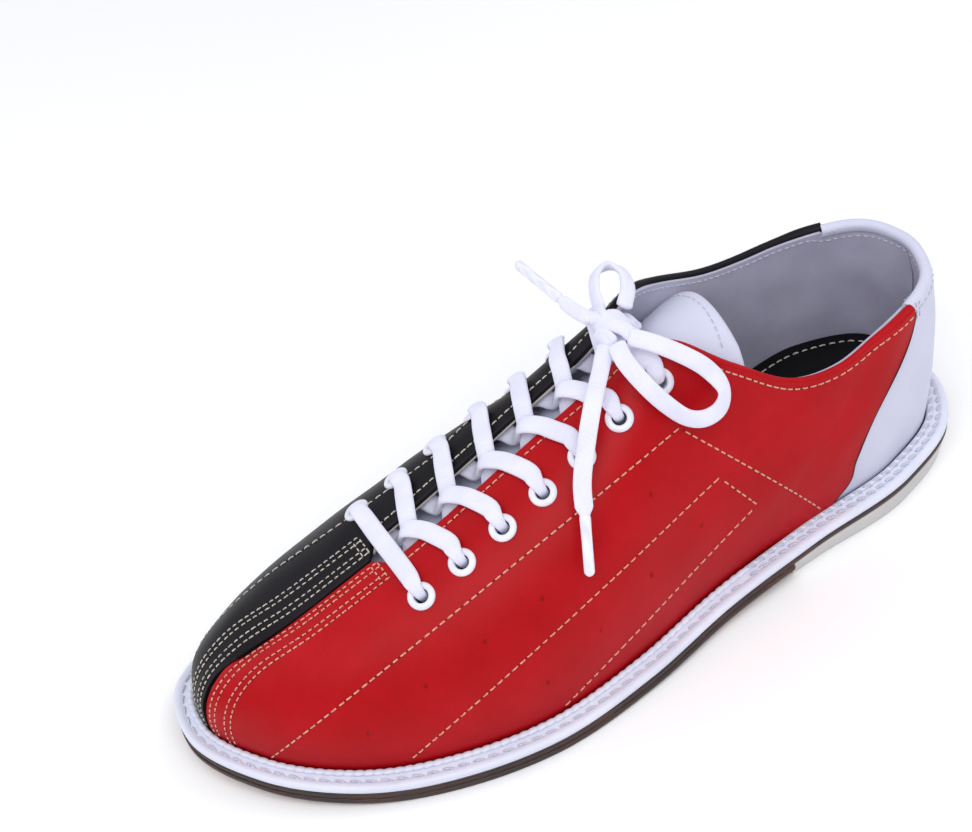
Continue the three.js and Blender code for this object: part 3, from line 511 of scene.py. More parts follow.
class Shader:
    """A principled material with helpers for its procedural nodes."""

    def __init__(self, name, roughness=0.5, **settings):
        self.material = bpy.data.materials.new(name)
        self.material.use_nodes = True
        self.tree = self.material.node_tree
        self.surface = self.tree.nodes["Principled BSDF"]
        self.surface.inputs["Roughness"].default_value = roughness
        for key, value in settings.items():
            self.surface.inputs[key.replace("_", " ")].default_value = value
        self.where = self.node("ShaderNodeTexCoord").outputs["Object"]

    def node(self, kind, **settings):
        made = self.tree.nodes.new(kind)
        for key, value in settings.items():
            setattr(made, key, value)
        return made

    def link(self, source, target):
        self.tree.links.new(source, target)

    def stretched(self, scale):
        mapping = self.node("ShaderNodeMapping")
        mapping.inputs["Scale"].default_value = scale
        self.link(self.where, mapping.inputs["Vector"])
        return mapping.outputs["Vector"]

    def texture(self, made, output, vector, **inputs):
        for key, value in inputs.items():
            made.inputs[key].default_value = value
        self.link(vector or self.where, made.inputs["Vector"])
        return made.outputs[output]

    def noise(self, scale, detail=3.0, rough=0.5, vector=None):
        made = self.node("ShaderNodeTexNoise")
        return self.texture(made, "Fac", vector, Scale=scale, Detail=detail, Roughness=rough)

    def cells(self, scale):
        made = self.node("ShaderNodeTexVoronoi", feature="F1")
        return self.texture(made, "Distance", None, Scale=scale)

    def waves(self, scale, direction, vector=None, distortion=0.0):
        made = self.node("ShaderNodeTexWave", bands_direction=direction)
        return self.texture(made, "Fac", vector, Scale=scale, Distortion=distortion)

    def mixed(self, a, b, share):
        """a times share plus b."""
        made = self.node("ShaderNodeMath", operation="MULTIPLY_ADD")
        self.link(a, made.inputs[0])
        made.inputs[1].default_value = share
        self.link(b, made.inputs[2])
        return made.outputs["Value"]

    def color(self, factor, *stops):
        """Base color by a ramp of (position, color) stops."""
        made = self.node("ShaderNodeValToRGB")
        elements = made.color_ramp.elements
        while len(elements) < len(stops):
            elements.new(0.5)
        for element, (position, color) in zip(elements, stops):
            element.position = position
            element.color = (*color, 1)
        self.link(factor, made.inputs["Fac"])
        self.link(made.outputs["Color"], self.surface.inputs["Base Color"])

    def roughness(self, factor, low, high):
        made = self.node("ShaderNodeMapRange")
        made.inputs["To Min"].default_value = low
        made.inputs["To Max"].default_value = high
        self.link(factor, made.inputs["Value"])
        self.link(made.outputs["Result"], self.surface.inputs["Roughness"])

    def bump(self, *layers):
        """Layers of (height, strength, distance in metres), one on another."""
        below = None
        for height, strength, distance in layers:
            made = self.node("ShaderNodeBump")
            made.inputs["Strength"].default_value = strength
            made.inputs["Distance"].default_value = distance
            self.link(height, made.inputs["Height"])
            if below:
                self.link(below, made.inputs["Normal"])
            below = made.outputs["Normal"]
        self.link(below, self.surface.inputs["Normal"])


GRAIN = 1100.0


def leather(name, base, light, roughness, shine=0.4, strength=0.22):
    made = Shader(name, Specular_IOR_Level=shine)
    cloud = made.noise(45, 4, 0.6)
    pores = made.cells(GRAIN)
    fine = made.noise(GRAIN * 2.2, 4, 0.6)
    middle = tuple((b + l) / 2 for b, l in zip(base, light))
    made.color(cloud, (0.3, base), (0.55, middle), (0.75, light))
    made.roughness(cloud, *roughness)
    creases = made.noise(60, 2)
    made.bump((creases, 0.12, 0.0006), (pores, strength, 0.00012), (fine, strength * 0.6, 0.00006))
    return made.material


def thread(name, base, shade):
    made = Shader(name, 0.75, Specular_IOR_Level=0.3, Sheen_Weight=0.25)
    twist = made.waves(900, "DIAGONAL")
    made.color(twist, (0.2, shade), (0.7, base))
    made.bump((twist, 0.5, 0.00012))
    return made.material


def braided_cotton():
    made = Shader("lace_cotton", 0.85, Specular_IOR_Level=0.2, Sheen_Weight=0.3)
    one = made.waves(620, "DIAGONAL")
    other = made.waves(620, "DIAGONAL", made.stretched((-1, 1, 1)))
    weave = made.mixed(one, other, 1.0)
    cloud = made.noise(120, 3)
    made.color(made.mixed(weave, cloud, 0.12), (0.3, (0.68, 0.68, 0.82)), (0.8, (0.76, 0.76, 0.89)))
    made.bump((weave, 0.16, 0.0001), (made.noise(3000, 3), 0.3, 0.0001))
    return made.material


def lining_with_painted_shade():
    made = Shader("lining_cloth", 0.8, Specular_IOR_Level=0.3, Sheen_Weight=0.15)
    cloud = made.noise(28, 4, 0.6)
    weave = made.noise(2600, 2, 0.5, made.stretched((1, 1, 1.8)))
    # The lining's grey-lavender is its own tone with random cloud, set darker than the cloth as painted shade
    # for the hollow of the shoe.
    made.color(cloud, (0.3, (0.36, 0.35, 0.46)), (0.7, (0.50, 0.49, 0.61)))
    made.bump((cloud, 0.1, 0.0008), (weave, 0.35, 0.0001))
    return made.material


def welt_plastic():
    made = Shader("welt_strip", 0.45, Specular_IOR_Level=0.45)
    cloud = made.noise(50, 4, 0.6)
    made.color(cloud, (0.3, (0.66, 0.68, 0.80)), (0.7, (0.73, 0.75, 0.86)))
    made.roughness(cloud, 0.38, 0.55)
    made.bump((made.noise(1500, 3), 0.14, 0.0001))
    return made.material


def inked_edge():
    made = Shader("dark_sole_leather", 0.5)
    layers = made.waves(420, "Z", distortion=1.5)
    cloud = made.noise(40, 4, 0.6)
    stops = [(0.3, (0.012, 0.008, 0.008)), (0.62, (0.03, 0.018, 0.016)), (0.9, (0.09, 0.035, 0.03))]
    made.color(made.mixed(layers, cloud, 0.25), *stops)
    made.roughness(cloud, 0.4, 0.65)
    made.bump((layers, 0.25, 0.00012), (made.noise(1800, 3), 0.2, 0.00008))
    return made.material


def suede_sole():
    made = Shader("slide_leather", 0.9, Specular_IOR_Level=0.2, Sheen_Weight=0.2)
    speck = made.noise(1700, 5, 0.7)
    cloud = made.noise(24, 5, 0.6)
    tone = made.mixed(speck, cloud, 0.15)
    made.color(tone, (0.36, (0.16, 0.065, 0.04)), (0.56, (0.28, 0.13, 0.085)), (0.76, (0.40, 0.22, 0.155)))
    made.bump((speck, 0.55, 0.00025), (made.noise(5200, 2), 0.35, 0.0001))
    return made.material


def heel_rubber(name, base, shade):
    made = Shader(name, 0.62, Specular_IOR_Level=0.35)
    cloud = made.noise(35, 4, 0.6)
    made.color(cloud, (0.3, shade), (0.7, base))
    made.roughness(cloud, 0.52, 0.72)
    made.bump((made.noise(2000, 4, 0.6), 0.22, 0.0001))
    return made.material


def enamel():
    made = Shader("eyelet_paint", 0.28, Specular_IOR_Level=0.5, Coat_Weight=0.3)
    cloud = made.noise(300, 3)
    made.color(cloud, (0.3, (0.70, 0.71, 0.80)), (0.7, (0.80, 0.81, 0.90)))
    made.bump((made.noise(900, 3), 0.06, 0.0001))
    return made.material


def film():
    made = Shader("aglet_film", 0.25, Specular_IOR_Level=0.5)
    weave = made.waves(330, "DIAGONAL")
    stops = [(0.3, (0.66, 0.67, 0.77)), (0.9, (0.80, 0.81, 0.90))]
    made.color(made.mixed(weave, made.noise(200), 0.4), *stops)
    made.bump((weave, 0.15, 0.0001))
    return made.material


def hidden_stuff(name, base, light, scale, strength=0.4, **settings):
    """Board, cork, cloth, foam or metal that lies inside: a speckled, bumpy material at its own scale."""
    made = Shader(name, 0.8, **settings)
    speck = made.cells(scale)
    cloud = made.noise(60, 4)
    made.color(made.mixed(speck, cloud, 0.6), (0.35, base), (0.8, light))
    made.bump((speck, strength, 0.0002))
    return made.material


RED = leather("red_leather", (0.36, 0.001, 0.003), (0.44, 0.003, 0.008), (0.38, 0.48), shine=0.14)
BLACK = leather("black_leather", (0.007, 0.006, 0.008), (0.012, 0.01, 0.013), (0.36, 0.48), 0.12, 0.3)
WHITE = leather("white_leather", (0.57, 0.58, 0.71), (0.63, 0.64, 0.78), (0.42, 0.55))
SOCK = leather("sock_leather", (0.003, 0.003, 0.004), (0.007, 0.006, 0.008), (0.6, 0.75), 0.12, 0.35)
CUT_EDGE = leather("cut_edge", (0.02, 0.003, 0.005), (0.05, 0.006, 0.01), (0.7, 0.8), strength=0.4)
# darker copies of the panel leathers: painted shade for needle holes and vent slits
RED_HOLE_SHADE = leather("needle_hole_shade_red", (0.13, 0.002, 0.003), (0.19, 0.003, 0.005), (0.8, 0.9))
BLACK_HOLE_SHADE = leather("needle_hole_shade_black", (0.002, 0.002, 0.002), (0.004, 0.004, 0.004), (0.8, 0.9))
OPENING_SHADE = {"lateral": RED_HOLE_SHADE, "medial": BLACK_HOLE_SHADE}
# lining cloth whose colour is partly its own tone and partly painted shade, also used for the tongue's lining
LINING = lining_with_painted_shade()
LACE = braided_cotton()
WELT = welt_plastic()
EDGE = inked_edge()
SUEDE = suede_sole()
RUBBER = heel_rubber("heel_rubber", (0.61, 0.595, 0.59), (0.54, 0.525, 0.52))
TAP = heel_rubber("tap_rubber", (0.62, 0.61, 0.60), (0.55, 0.54, 0.53))
ENAMEL = enamel()
PINK_THREAD = thread("thread_on_red", (0.80, 0.42, 0.30), (0.52, 0.20, 0.15))
CREAM_THREAD = thread("thread_on_black", (0.62, 0.58, 0.50), (0.36, 0.33, 0.29))
WHITE_THREAD = thread("thread_on_white", (0.62, 0.63, 0.74), (0.44, 0.45, 0.56))
FILM = film()
GREY_THREAD = thread("thread_on_lining", (0.62, 0.62, 0.72), (0.40, 0.40, 0.50))

# ---------------------------------------------------------------- camera


def add_camera():
    """Looks down at the outer side of the shoe from in front of its toe."""
    turn, tilt, roll = math.radians(159.26), math.radians(44.03), math.radians(-12.49)
    distance, lens, sensor = 889.9, 96.7, 36.0
    aim = Vector((150, 0, 40))
    aim_right, aim_up = 28.8, -33.5
    back = Vector((math.sin(turn) * math.cos(tilt), -math.cos(turn) * math.cos(tilt), math.sin(tilt)))
    level = Vector((math.cos(turn), math.sin(turn), 0))
    upright = back.cross(level)
    right = level * math.cos(roll) + upright * math.sin(roll)
    up = upright * math.cos(roll) - level * math.sin(roll)
    spot = aim + back * distance - right * aim_right - up * aim_up
    data = bpy.data.cameras.new("camera")
    data.lens = lens
    data.sensor_width = sensor
    data.clip_start = 0.05
    camera = add_object("camera", data)
    axes = Matrix((right, up, back)).transposed().to_4x4()
    camera.matrix_world = Matrix.Translation(Vector(place(spot))) @ axes
    bpy.context.scene.camera = camera


# ---------------------------------------------------------------- upper

SIDES = {"lateral": 1, "medial": -1}
PANEL_LEATHER = {"lateral": RED, "medial": BLACK}
PANEL_THREAD = {"lateral": PINK_THREAD, "medial": CREAM_THREAD}

# boundary of the heel foxing: share of the way up, then share of the edge
FOXING_EDGE = [
    (0, 0.1235), (0.04, 0.1215), (0.09, 0.1158), (0.25, 0.1135), (0.5, 0.1095), (0.86, 0.0905),
    (0.93, 0.0875), (1, 0.0865),
]
NEAR_TOP = np.array([0, 0.1, 0.28, 0.55, 0.9, 1.3, 1.8, 2.4, 3.1, 4, 5, 6.5, 8.5, 11])
FAR_SHARES = np.linspace(1, 0, 46)[1:]
WALL_HEIGHT = 60
ROLL_FADE = (5.5, 3.6)
BESIDE_FOXING = 0.09
FOXING_TUCK = 0.009
PANEL_ROLL = 1.15
LINING_RISE = 1.6
OVERLAP = 1.25
TOE_END = 0.4997
CORNER_SOFTNESS = 0.012


def soft_top(u):
    """The top edge with its collar corners rounded."""
    half = folded(u)
    zero, one = np.zeros(len(u)), np.ones(len(u))
    side = np.where(u > 0.5, -1, 1)
    within = np.minimum(half, COLLAR_CORNER)
    height = np.where(u > 0.5, value_at(MEDIAL_COLLAR, within), value_at(LATERAL_COLLAR, within))
    collar = bisect(lambda t: wall(u, t)[:, 2] - height, zero, one * 1.1)
    collar = np.where(half < COLLAR_CORNER, collar, 2)

    def crossed(t):
        p = wall(u, t)
        return half_opening(p[:, 0]) - aside(side, p)

    flap = np.where(half > 0.2, bisect(crossed, zero, one), 2)
    weight = np.exp(-collar / CORNER_SOFTNESS) + np.exp(-flap / CORNER_SOFTNESS)
    return np.minimum(1, -CORNER_SOFTNESS * np.log(np.maximum(weight, 1e-80)))


SAMPLES = np.concatenate([np.linspace(0.0003, 0.4999, 1000), np.linspace(0.5001, 0.9997, 1000)])
TOPS = soft_top(SAMPLES)
TOP_SPEED = np.linalg.norm(wall(SAMPLES, TOPS) - wall(SAMPLES, TOPS - 0.01), axis=1) / 0.01


def on_side(side, half):
    half = np.asarray(half, float)
    return half if side > 0 else 1 - half


def below_top(side, half, distance):
    """Places at a distance in millimetres below a side's top edge."""
    u = on_side(side, half)
    t = np.interp(u, SAMPLES, TOPS) - distance / np.interp(u, SAMPLES, TOP_SPEED)
    return np.column_stack([u, np.clip(t, 0, 1)])


def share_below(distance):
    """Share of the way up that is left at a distance below the top edge, by the heel foxing."""
    top, under = (below_top(1, [BESIDE_FOXING], d)[0, 1] for d in (0, distance))
    return under / top


def upper_rows(start, end, side, columns):
    """Rows of places from the top edge down, each with its distance below that edge.

    start and end give the columns' ends at a share of the way up. Below the last of NEAR_TOP, each row keeps
    a share of that one's height.
    """
    rows = []
    for distance, step in [(d, 1.0) for d in NEAR_TOP] + [(NEAR_TOP[-1], step) for step in FAR_SHARES]:
        share = share_below(distance) * step
        half = start(share) + (end(share) - start(share)) * columns
        places = below_top(side, half, distance) * (1, step)
        rows.append((places, distance + (1 - step) * WALL_HEIGHT))
    return rows


def swell(places, height, seed):
    """Slow waves of the leather over its lining, in millimetres."""
    u, t = places[:, 0], places[:, 1]
    broad = np.sin(u * 61 + t * 7 + seed) * np.sin(t * 11 - u * 23 + seed * 2)
    wave = broad + 0.5 * np.sin(u * 143 + t * 17 + seed)
    return wave * height * np.clip(t * 5, 0, 1)


def rolled(rows, outer, inner, turned):
    """Rings across a piece whose top edge is rolled over: outer face, edge, then inner face.

    outer(places) and inner(places) give depths, and turned(places) the depth of the inner face at the edge.
    """
    out_rings, in_rings = [], []
    for places, distance in rows:
        out, into = outer(places), inner(places)
        edge_in = turned(places)
        near = smoothstep(distance, *ROLL_FADE)
        into = into + (edge_in - into) * near
        radius = (out - edge_in) / 2
        bite = np.clip(radius - distance, 0, None)
        cut = radius - np.sqrt(np.maximum(radius**2 - bite**2, 0))
        out_rings.append(skin(places[:, 0], places[:, 1], out - cut, seamed=True))
        in_rings.append(skin(places[:, 0], places[:, 1], into + cut * near, seamed=True))
    return np.stack(out_rings[::-1] + in_rings, axis=1)


def foxing_start(share):
    return float(through(FOXING_EDGE, share)[0, 0])


def foxing_end(share):
    """The foxing runs on under the panel, except at the collar, where they meet."""
    return foxing_start(share) + FOXING_TUCK * float(1 - smoothstep(share, 0.86, 0.97)) + 0.0005


def overlap_lift(places):
    """How far a panel stands out where it lies over the heel foxing."""
    share = np.clip(places[:, 1] / np.interp(places[:, 0], SAMPLES, TOPS), 0, 1)
    past = folded(places[:, 0]) - value_at(FOXING_EDGE, share)
    return OVERLAP * smoothstep(past, FOXING_TUCK * 4.5, FOXING_TUCK)


def circle_about(axis, start, sides):
    """Unit circle round an axis, beginning towards start."""
    level = unit(start - axis * (start @ axis))
    turn = even_turns(sides)[:, None]
    return level * np.cos(turn) + np.cross(axis, level) * np.sin(turn)


def eyelet_cutter(side):
    """The eyelets' holes through every layer of a flap."""
    parts = []
    for number in range(EYELETS):
        base, axis, _ = eyelet_frame(side, number)
        circle = circle_about(axis, np.array([1.0, 0, 0]), 20) * EYELET_HOLE
        parts.append(tube(np.stack([base + axis * depth + circle for depth in (-9, 11)])))
    return joined(parts)


def on_flap(side, x, across):
    """The place on a side at x, a distance across from the middle line."""
    halves = np.linspace(0.215, 0.42, 140)
    u = on_side(side, halves)
    t = bisect(lambda t: across - aside(side, wall(u, t)), np.full(140, 0.3), np.ones(140))
    reached = wall(u, t)[:, 0]
    return on_side(side, [np.interp(x, reached, halves)]), np.interp([x], reached, t)


FRAMES = {}


def eyelet_frame(side, number):
    """An eyelet's base point, its axis outward and the direction straight towards its flap's edge."""
    if (side, number) not in FRAMES:
        across = through(EYELET_ACROSS[side], number)[0, 0]
        u, t = on_flap(side, FIRST_EYELET - number * EYELET_PITCH, across)
        axis = wall_normal(u, t)[0]
        uphill = unit(np.cross([1.0, 0, 0], axis)) * np.sign(axis[1])
        FRAMES[side, number] = wall(u, t)[0], axis, uphill
    return FRAMES[side, number]


def panel(name):
    side = SIDES[name]
    rows = upper_rows(foxing_start, lambda share: TOE_END, side, np.linspace(0, 1, 250))

    def outer(places):
        return PANEL_OUT + overlap_lift(places) + swell(places, 0.12, side + 2)

    def inner(places):
        return PANEL_IN + overlap_lift(places)

    def turned(places):
        x = wall(places[:, 0], places[:, 1])[:, 0]
        bound = smoothstep(x, THROAT + 3, THROAT - 8)
        return inner(places) * (1 - bound) + PANEL_ROLL * bound

    shape, holes = loft(rolled(rows, outer, inner, turned)), eyelet_cutter(side)
    node = f"{name}_panel"
    add_piece(f"{node}_leather", shape, PANEL_LEATHER[name], node, cutter=holes)


CUT_EDGE_LIFT = 0.75
CUT_EDGE_WIDTH = 0.9
CUT_EDGE_HEIGHT = 1.35


def cut_edges():
    """The dark cut edges of the panels where they lie over the heel foxing."""
    parts = []
    for side in SIDES.values():
        shares = np.linspace(0.03, 0.95, 70)
        half = np.array([foxing_start(s) for s in shares]) - 0.0006
        u = on_side(side, half)
        t = np.interp(u, SAMPLES, TOPS) * shares
        points = skin(u, t, PANEL_OUT + CUT_EDGE_LIFT)
        parts.append(ribbon(points, wall_normal(u, t), CUT_EDGE_WIDTH, CUT_EDGE_HEIGHT, sides=8))
    add_piece("panel_cut_edges", joined(parts), CUT_EDGE)


def foxing():
    """White heel piece: one skin from side to side, its top edge rolled over the collar."""
    sections = []
    for side, shares in ((-1, np.linspace(1, 0.004, 64)), (1, np.linspace(0.004, 1, 64))):
        section = rolled(
            upper_rows(lambda share: 0.0, foxing_end, side, shares),
            lambda places: PANEL_OUT + 0.05 + swell(places, 0.1, 5),
            lambda places: np.full(len(places), PANEL_IN),
            lambda places: np.full(len(places), -0.3),
        )
        sections.append(section)
    add_piece("heel_foxing_leather", loft(np.concatenate(sections)), WHITE, "heel_foxing")


def lining(name):
    side = SIDES[name]
    rows = []
    half = np.linspace(0.0002, TOE_END, 170)
    rise = LINING_RISE * smoothstep(half, 0.0865, 0.0885) * smoothstep(half, 0.4, 0.37)
    near = [(distance, 1) for distance in (3.0, 3.2, 3.6, 4.2, 5, 7, 9, 11)]
    for distance, share in near + [(11, share) for share in np.linspace(1, 0, 31)[1:]]:
        lowered = distance - rise * np.interp(distance, [3, 7], [1, 0])
        places = below_top(side, half, lowered)
        rows.append(np.column_stack([places[:, 0], places[:, 1] * share]))
    waves = [swell(p, 0.35, 3) * smoothstep(1 - p[:, 1], 0.1, 0.4) for p in rows]
    inner = [skin(p[:, 0], p[:, 1], wave, seamed=True) for p, wave in zip(rows, waves)]
    outer = [skin(p[:, 0], p[:, 1], 1.0, seamed=True) for p in rows]
    shape = loft(np.stack(outer[::-1] + inner, axis=1))
    holes = eyelet_cutter(side)
    add_piece(f"{name}_lining_cloth", shape, LINING, f"lining_{name}", cutter=holes)


def beside_edge(side, halves, distance):
    """Places a distance from the flap's edge, for columns of the edge."""
    u = on_side(side, halves)

    def rising(t):
        p = wall(u, t)
        return half_opening(p[:, 0]) + distance - aside(side, p)

    return np.column_stack([u, bisect(rising, np.zeros(len(u)), np.ones(len(u)))])


# decorative stitch lines on each panel, straight from corner to corner, and the vents between them, as places
# of (share of the edge, t)
LATERAL_LINES = [
    [(0.1305, 0.05), (0.2325, 0.78), (0.456, 0.03)],
    [(0.297, 0.025), (0.1785, 0.34), (0.2075, 0.555), (0.383, 0.03)],
]
MEDIAL_LINES = [[(0.132, 0.02), (0.235, 0.74), (0.33, 0.80), (0.455, 0.30), (0.47, 0.04)]]
PANEL_LINES = {"lateral": LATERAL_LINES, "medial": MEDIAL_LINES}
PANEL_FACING = {1: np.array([0.26, 0.67, 0.69]), -1: np.array([0.26, -0.67, 0.69])}
VENTS = [
    (0.4, 0.24), (0.368, 0.38), (0.336, 0.44), (0.304, 0.48), (0.274, 0.54), (0.243, 0.61),
    (0.305, 0.18), (0.272, 0.25), (0.24, 0.32), (0.212, 0.39),
]
SEAM_ROWS = (2.6, 4.8, 8.6, 10.8)
BOX_ENDS = (219.0, 221.4)


def straight_line(side, first, last):
    """Places on a panel along a line that is straight as seen from the way the panel faces."""
    shares = np.linspace(0, 1, 40)
    u = on_side(side, first[0] + (last[0] - first[0]) * shares)
    a, b = (skin(on_side(side, [c[0]]), c[1], PANEL_OUT)[0] for c in (first, last))
    across = unit(np.cross(b - a, PANEL_FACING[side]))
    across = across * (1 if across[2] > 0 else -1)
    t = bisect(lambda t: (skin(u, t, PANEL_OUT) - a) @ across, np.zeros(40), np.ones(40))
    return np.column_stack([u, t])


def seam_line(side, distance):
    """Places at a distance beside the toe seam, from the throat over the toe and down to the welt."""

    def past(half, t):
        return SEAM_GAP + distance - aside(side, skin(on_side(side, half), t, PANEL_OUT, seamed=True))

    start = on_side(side, on_flap(side, BOX_ENDS[0], SEAM_GAP + distance)[0])[0]
    half = np.linspace(start, TOE_END, 600)
    t = bisect(lambda t: past(half, t), np.zeros(600), np.ones(600))
    over = t > 0.6
    down = np.linspace(t[over][-1], 0.01, 60)[1:]
    beside = bisect(lambda half: past(half, down), np.full(59, 0.42), np.full(59, TOE_END))
    half = np.concatenate([half[over], beside])
    return np.column_stack([on_side(side, half), np.concatenate([t[over], down])])


def box_end(side, x):
    """The short line that closes the seam's rows at the throat."""
    found = [on_flap(side, x, SEAM_GAP + d) for d in np.linspace(SEAM_ROWS[0], SEAM_ROWS[-1], 7)]
    return np.array([[u[0], t[0]] for u, t in found])


CORNER_LINE = {"pitch": 3.3, "cover": 0.72, "radius": 0.28}
EDGE_LINE = {"pitch": 2.8, "cover": 0.74, "radius": 0.28}
SEAM_LINE = {"pitch": 2.5, "cover": 0.7, "radius": 0.26}
EDGE_MARGIN = 3.4
FLAP_STITCHES = (0.256, 216)
COLLAR_MARGIN = 3.5
COLLAR_STITCHES = (0.089, 0.25)
THREAD_LIFT = 0.02


def panel_stitching(name):
    side = SIDES[name]
    depth = PANEL_OUT + THREAD_LIFT
    stitches, holes = [], []
    for corners in PANEL_LINES[name]:
        for first, last in zip(corners[:-1], corners[1:]):
            line = straight_line(side, first, last)
            stitches += sewn(line, depth, lift=overlap_lift, holes=holes, **CORNER_LINE)
    collar = below_top(side, np.linspace(*COLLAR_STITCHES, 50), COLLAR_MARGIN)
    begin, last_x = FLAP_STITCHES
    end = on_flap(side, last_x, half_opening(last_x) + EDGE_MARGIN)[0][0]
    flap = beside_edge(side, np.linspace(begin, on_side(side, end), 60), EDGE_MARGIN)
    for line in (collar, flap):
        stitches += sewn(line, depth, lift=overlap_lift, holes=holes, **EDGE_LINE)
    for line in [seam_line(side, d) for d in SEAM_ROWS] + [box_end(side, x) for x in BOX_ENDS]:
        stitches += sewn(line, depth, spacing=1.0, holes=holes, **SEAM_LINE)
    add_piece(f"{name}_panel_stitches", joined(stitches), PANEL_THREAD[name])
    # flat dark marks of painted shade where the needle holes are
    add_piece(f"{name}_needle_hole_shades", joined(holes), OPENING_SHADE[name])


def vents(name):
    """Small punched slits: a raised lip round a flat dark mark of painted shade where the slit is cut."""
    side = SIDES[name]
    turn = even_turns(12)[:, None]
    high, wide = 0.9 * np.sin(turn), 0.55 * np.cos(turn)
    lips, slit_shades = [], []
    for u, t in VENTS:
        u = float(on_side(side, u))
        base, normal = skin([u], [t], PANEL_OUT)[0], wall_normal([u], [t])[0]
        uphill = unit(wall([u], [t + 0.01])[0] - wall([u], [t])[0])
        ring = base + normal * 0.02 + uphill * high + np.cross(normal, uphill) * wide
        lips.append(ribbon(np.vstack([ring, ring[:2]]), normal, 0.4, 0.34, sides=6, rounded_ends=False))
        # the slit's darkness is painted shade: a flat dark mark, not an opening
        slit_shades.append(ribbon(base + uphill * np.linspace(-0.6, 0.6, 5)[:, None], normal, 0.7, 0.3, sides=8))
    add_piece(f"{name}_vent_lips", joined(lips), PANEL_LEATHER[name])
    add_piece(f"{name}_vent_slit_shades", joined(slit_shades), OPENING_SHADE[name])


def collar_stitching():
    """Light stitches: below the rolled edge on the lining, and at the ends of the foxing's collar."""
    stitches = []
    on_foxing = PANEL_OUT + 0.1
    for side in SIDES.values():
        half = np.linspace(0.002, 0.25, 90)
        inside = below_top(side, half, 5.6 - 2.4 * smoothstep(half, 0.085, 0.1))
        stitches += sewn(inside, -0.1, inward=True, pitch=2.6, cover=0.7, radius=0.24)
        for offset in (0.004, 0.0075):
            tab = below_top(side, np.full(5, foxing_start(1.0) - offset), np.array([0.8, 3, 5.2, 7.4, 9.6]))
            stitches += sewn(tab, on_foxing, spacing=1.0, pitch=2.4, radius=0.26)
            stitches += sewn(tab[:2], -0.35, spacing=0.5, inward=True, pitch=1.3, radius=0.26)
        outside = below_top(side, np.linspace(0.002, foxing_start(0.95) - 0.008, 60), 4.6)
        stitches += sewn(outside, on_foxing, pitch=2.9, radius=0.26)
    add_piece("collar_stitches", joined(stitches), GREY_THREAD)


def lathe(profile, base, axis, sides=40):
    """A closed profile of (radius, height) points turned round an axis."""
    circle = circle_about(axis, np.array([1.0, 0.1, 0]), sides)
    rings = np.stack([base + axis * z + circle * r for r, z in profile])
    return loft(rings.transpose(1, 0, 2), closed=True)


EYELET_PROFILE = [
    (2.45, -1.2), (2.45, 4.6), (2.55, 4.95), (2.85, 5.2), (3.3, 5.3), (3.8, 5.22), (4.3, 5.0),
    (4.65, 4.65), (4.75, 4.25), (4.7, 3.95), (2.95, 3.95), (2.95, -1.2), (4.2, -1.3), (4.35, -1.6),
    (4.1, -1.85), (2.9, -1.9),
]


def eyelets():
    for name, side in SIDES.items():
        for number in range(EYELETS):
            base, axis, _ = eyelet_frame(side, number)
            node = f"eyelet_{name}_{number + 1}"
            add_piece(f"{node}_ring", lathe(EYELET_PROFILE, base, axis), ENAMEL, node)


# ---------------------------------------------------------------- tongue

TONGUE_BACK = 84.0
TONGUE_FRONT = 228.5
TONGUE_ROUND = 2.6
TONGUE_STITCH_LIFT = 1.8
TONGUE_MARGIN = 2.6
TONGUE_DROP = [(84, 10.2), (94, 10), (104, 10), (115, 10.8), (131, 8), (208, 7), (220, 4.8), (229, 2.9)]
TONGUE_WIDTH = [
    (84, 15), (85, 19), (87, 21.5), (92, 22), (98, 20.5), (106, 16.5), (114, 13), (122, 12.3), (131, 13),
    (160, 16), (206, 16.6), (222, 12), (229, 9),
]
TONGUE_ARCH = [
    (84, 0.028), (94, 0.034), (104, 0.048), (120, 0.062), (131, 0.05), (153, 0.03), (180, 0.014),
    (229, 0.009),
]
TONGUE_TILT = [(84, 0.08), (104, 0.06), (125, 0), (229, 0)]
TONGUE_CREST = [(80, 105.4), (87, 105.3), (94, 105.2), (104, 104.2), (112, 101.6), (120, 98.2), (131, 93)]


def tongue_point(x, across, depth):
    """Points over the tongue's arched sheet, with their normals."""

    def crest(at):
        over = np.where(at < TONGUE_CREST[-1][0], value_at(TONGUE_CREST, at), ridge_z(at))
        return over - value_at(TONGUE_DROP, at)

    arch = value_at(TONGUE_ARCH, x)
    tilt = value_at(TONGUE_TILT, x)
    arch_change = value_at(TONGUE_ARCH, x + 0.5) - value_at(TONGUE_ARCH, x - 0.5)
    slope = crest(x + 0.5) - crest(x - 0.5) - arch_change * across**2
    normal = unit(np.column_stack([-slope, 2 * arch * across + tilt, np.ones(len(x))]))
    base = np.column_stack([x, ridge_y(x) + across, crest(x) - (arch * across + tilt) * across])
    return base + normal * np.reshape(depth, (-1, 1)), normal


def padding(x, share):
    """How far the tongue's top is padded out, at a share of its half width."""
    return (1 - smoothstep(x, 104, 124)) * np.clip(1 - share**2, 0, 1) ** 0.7


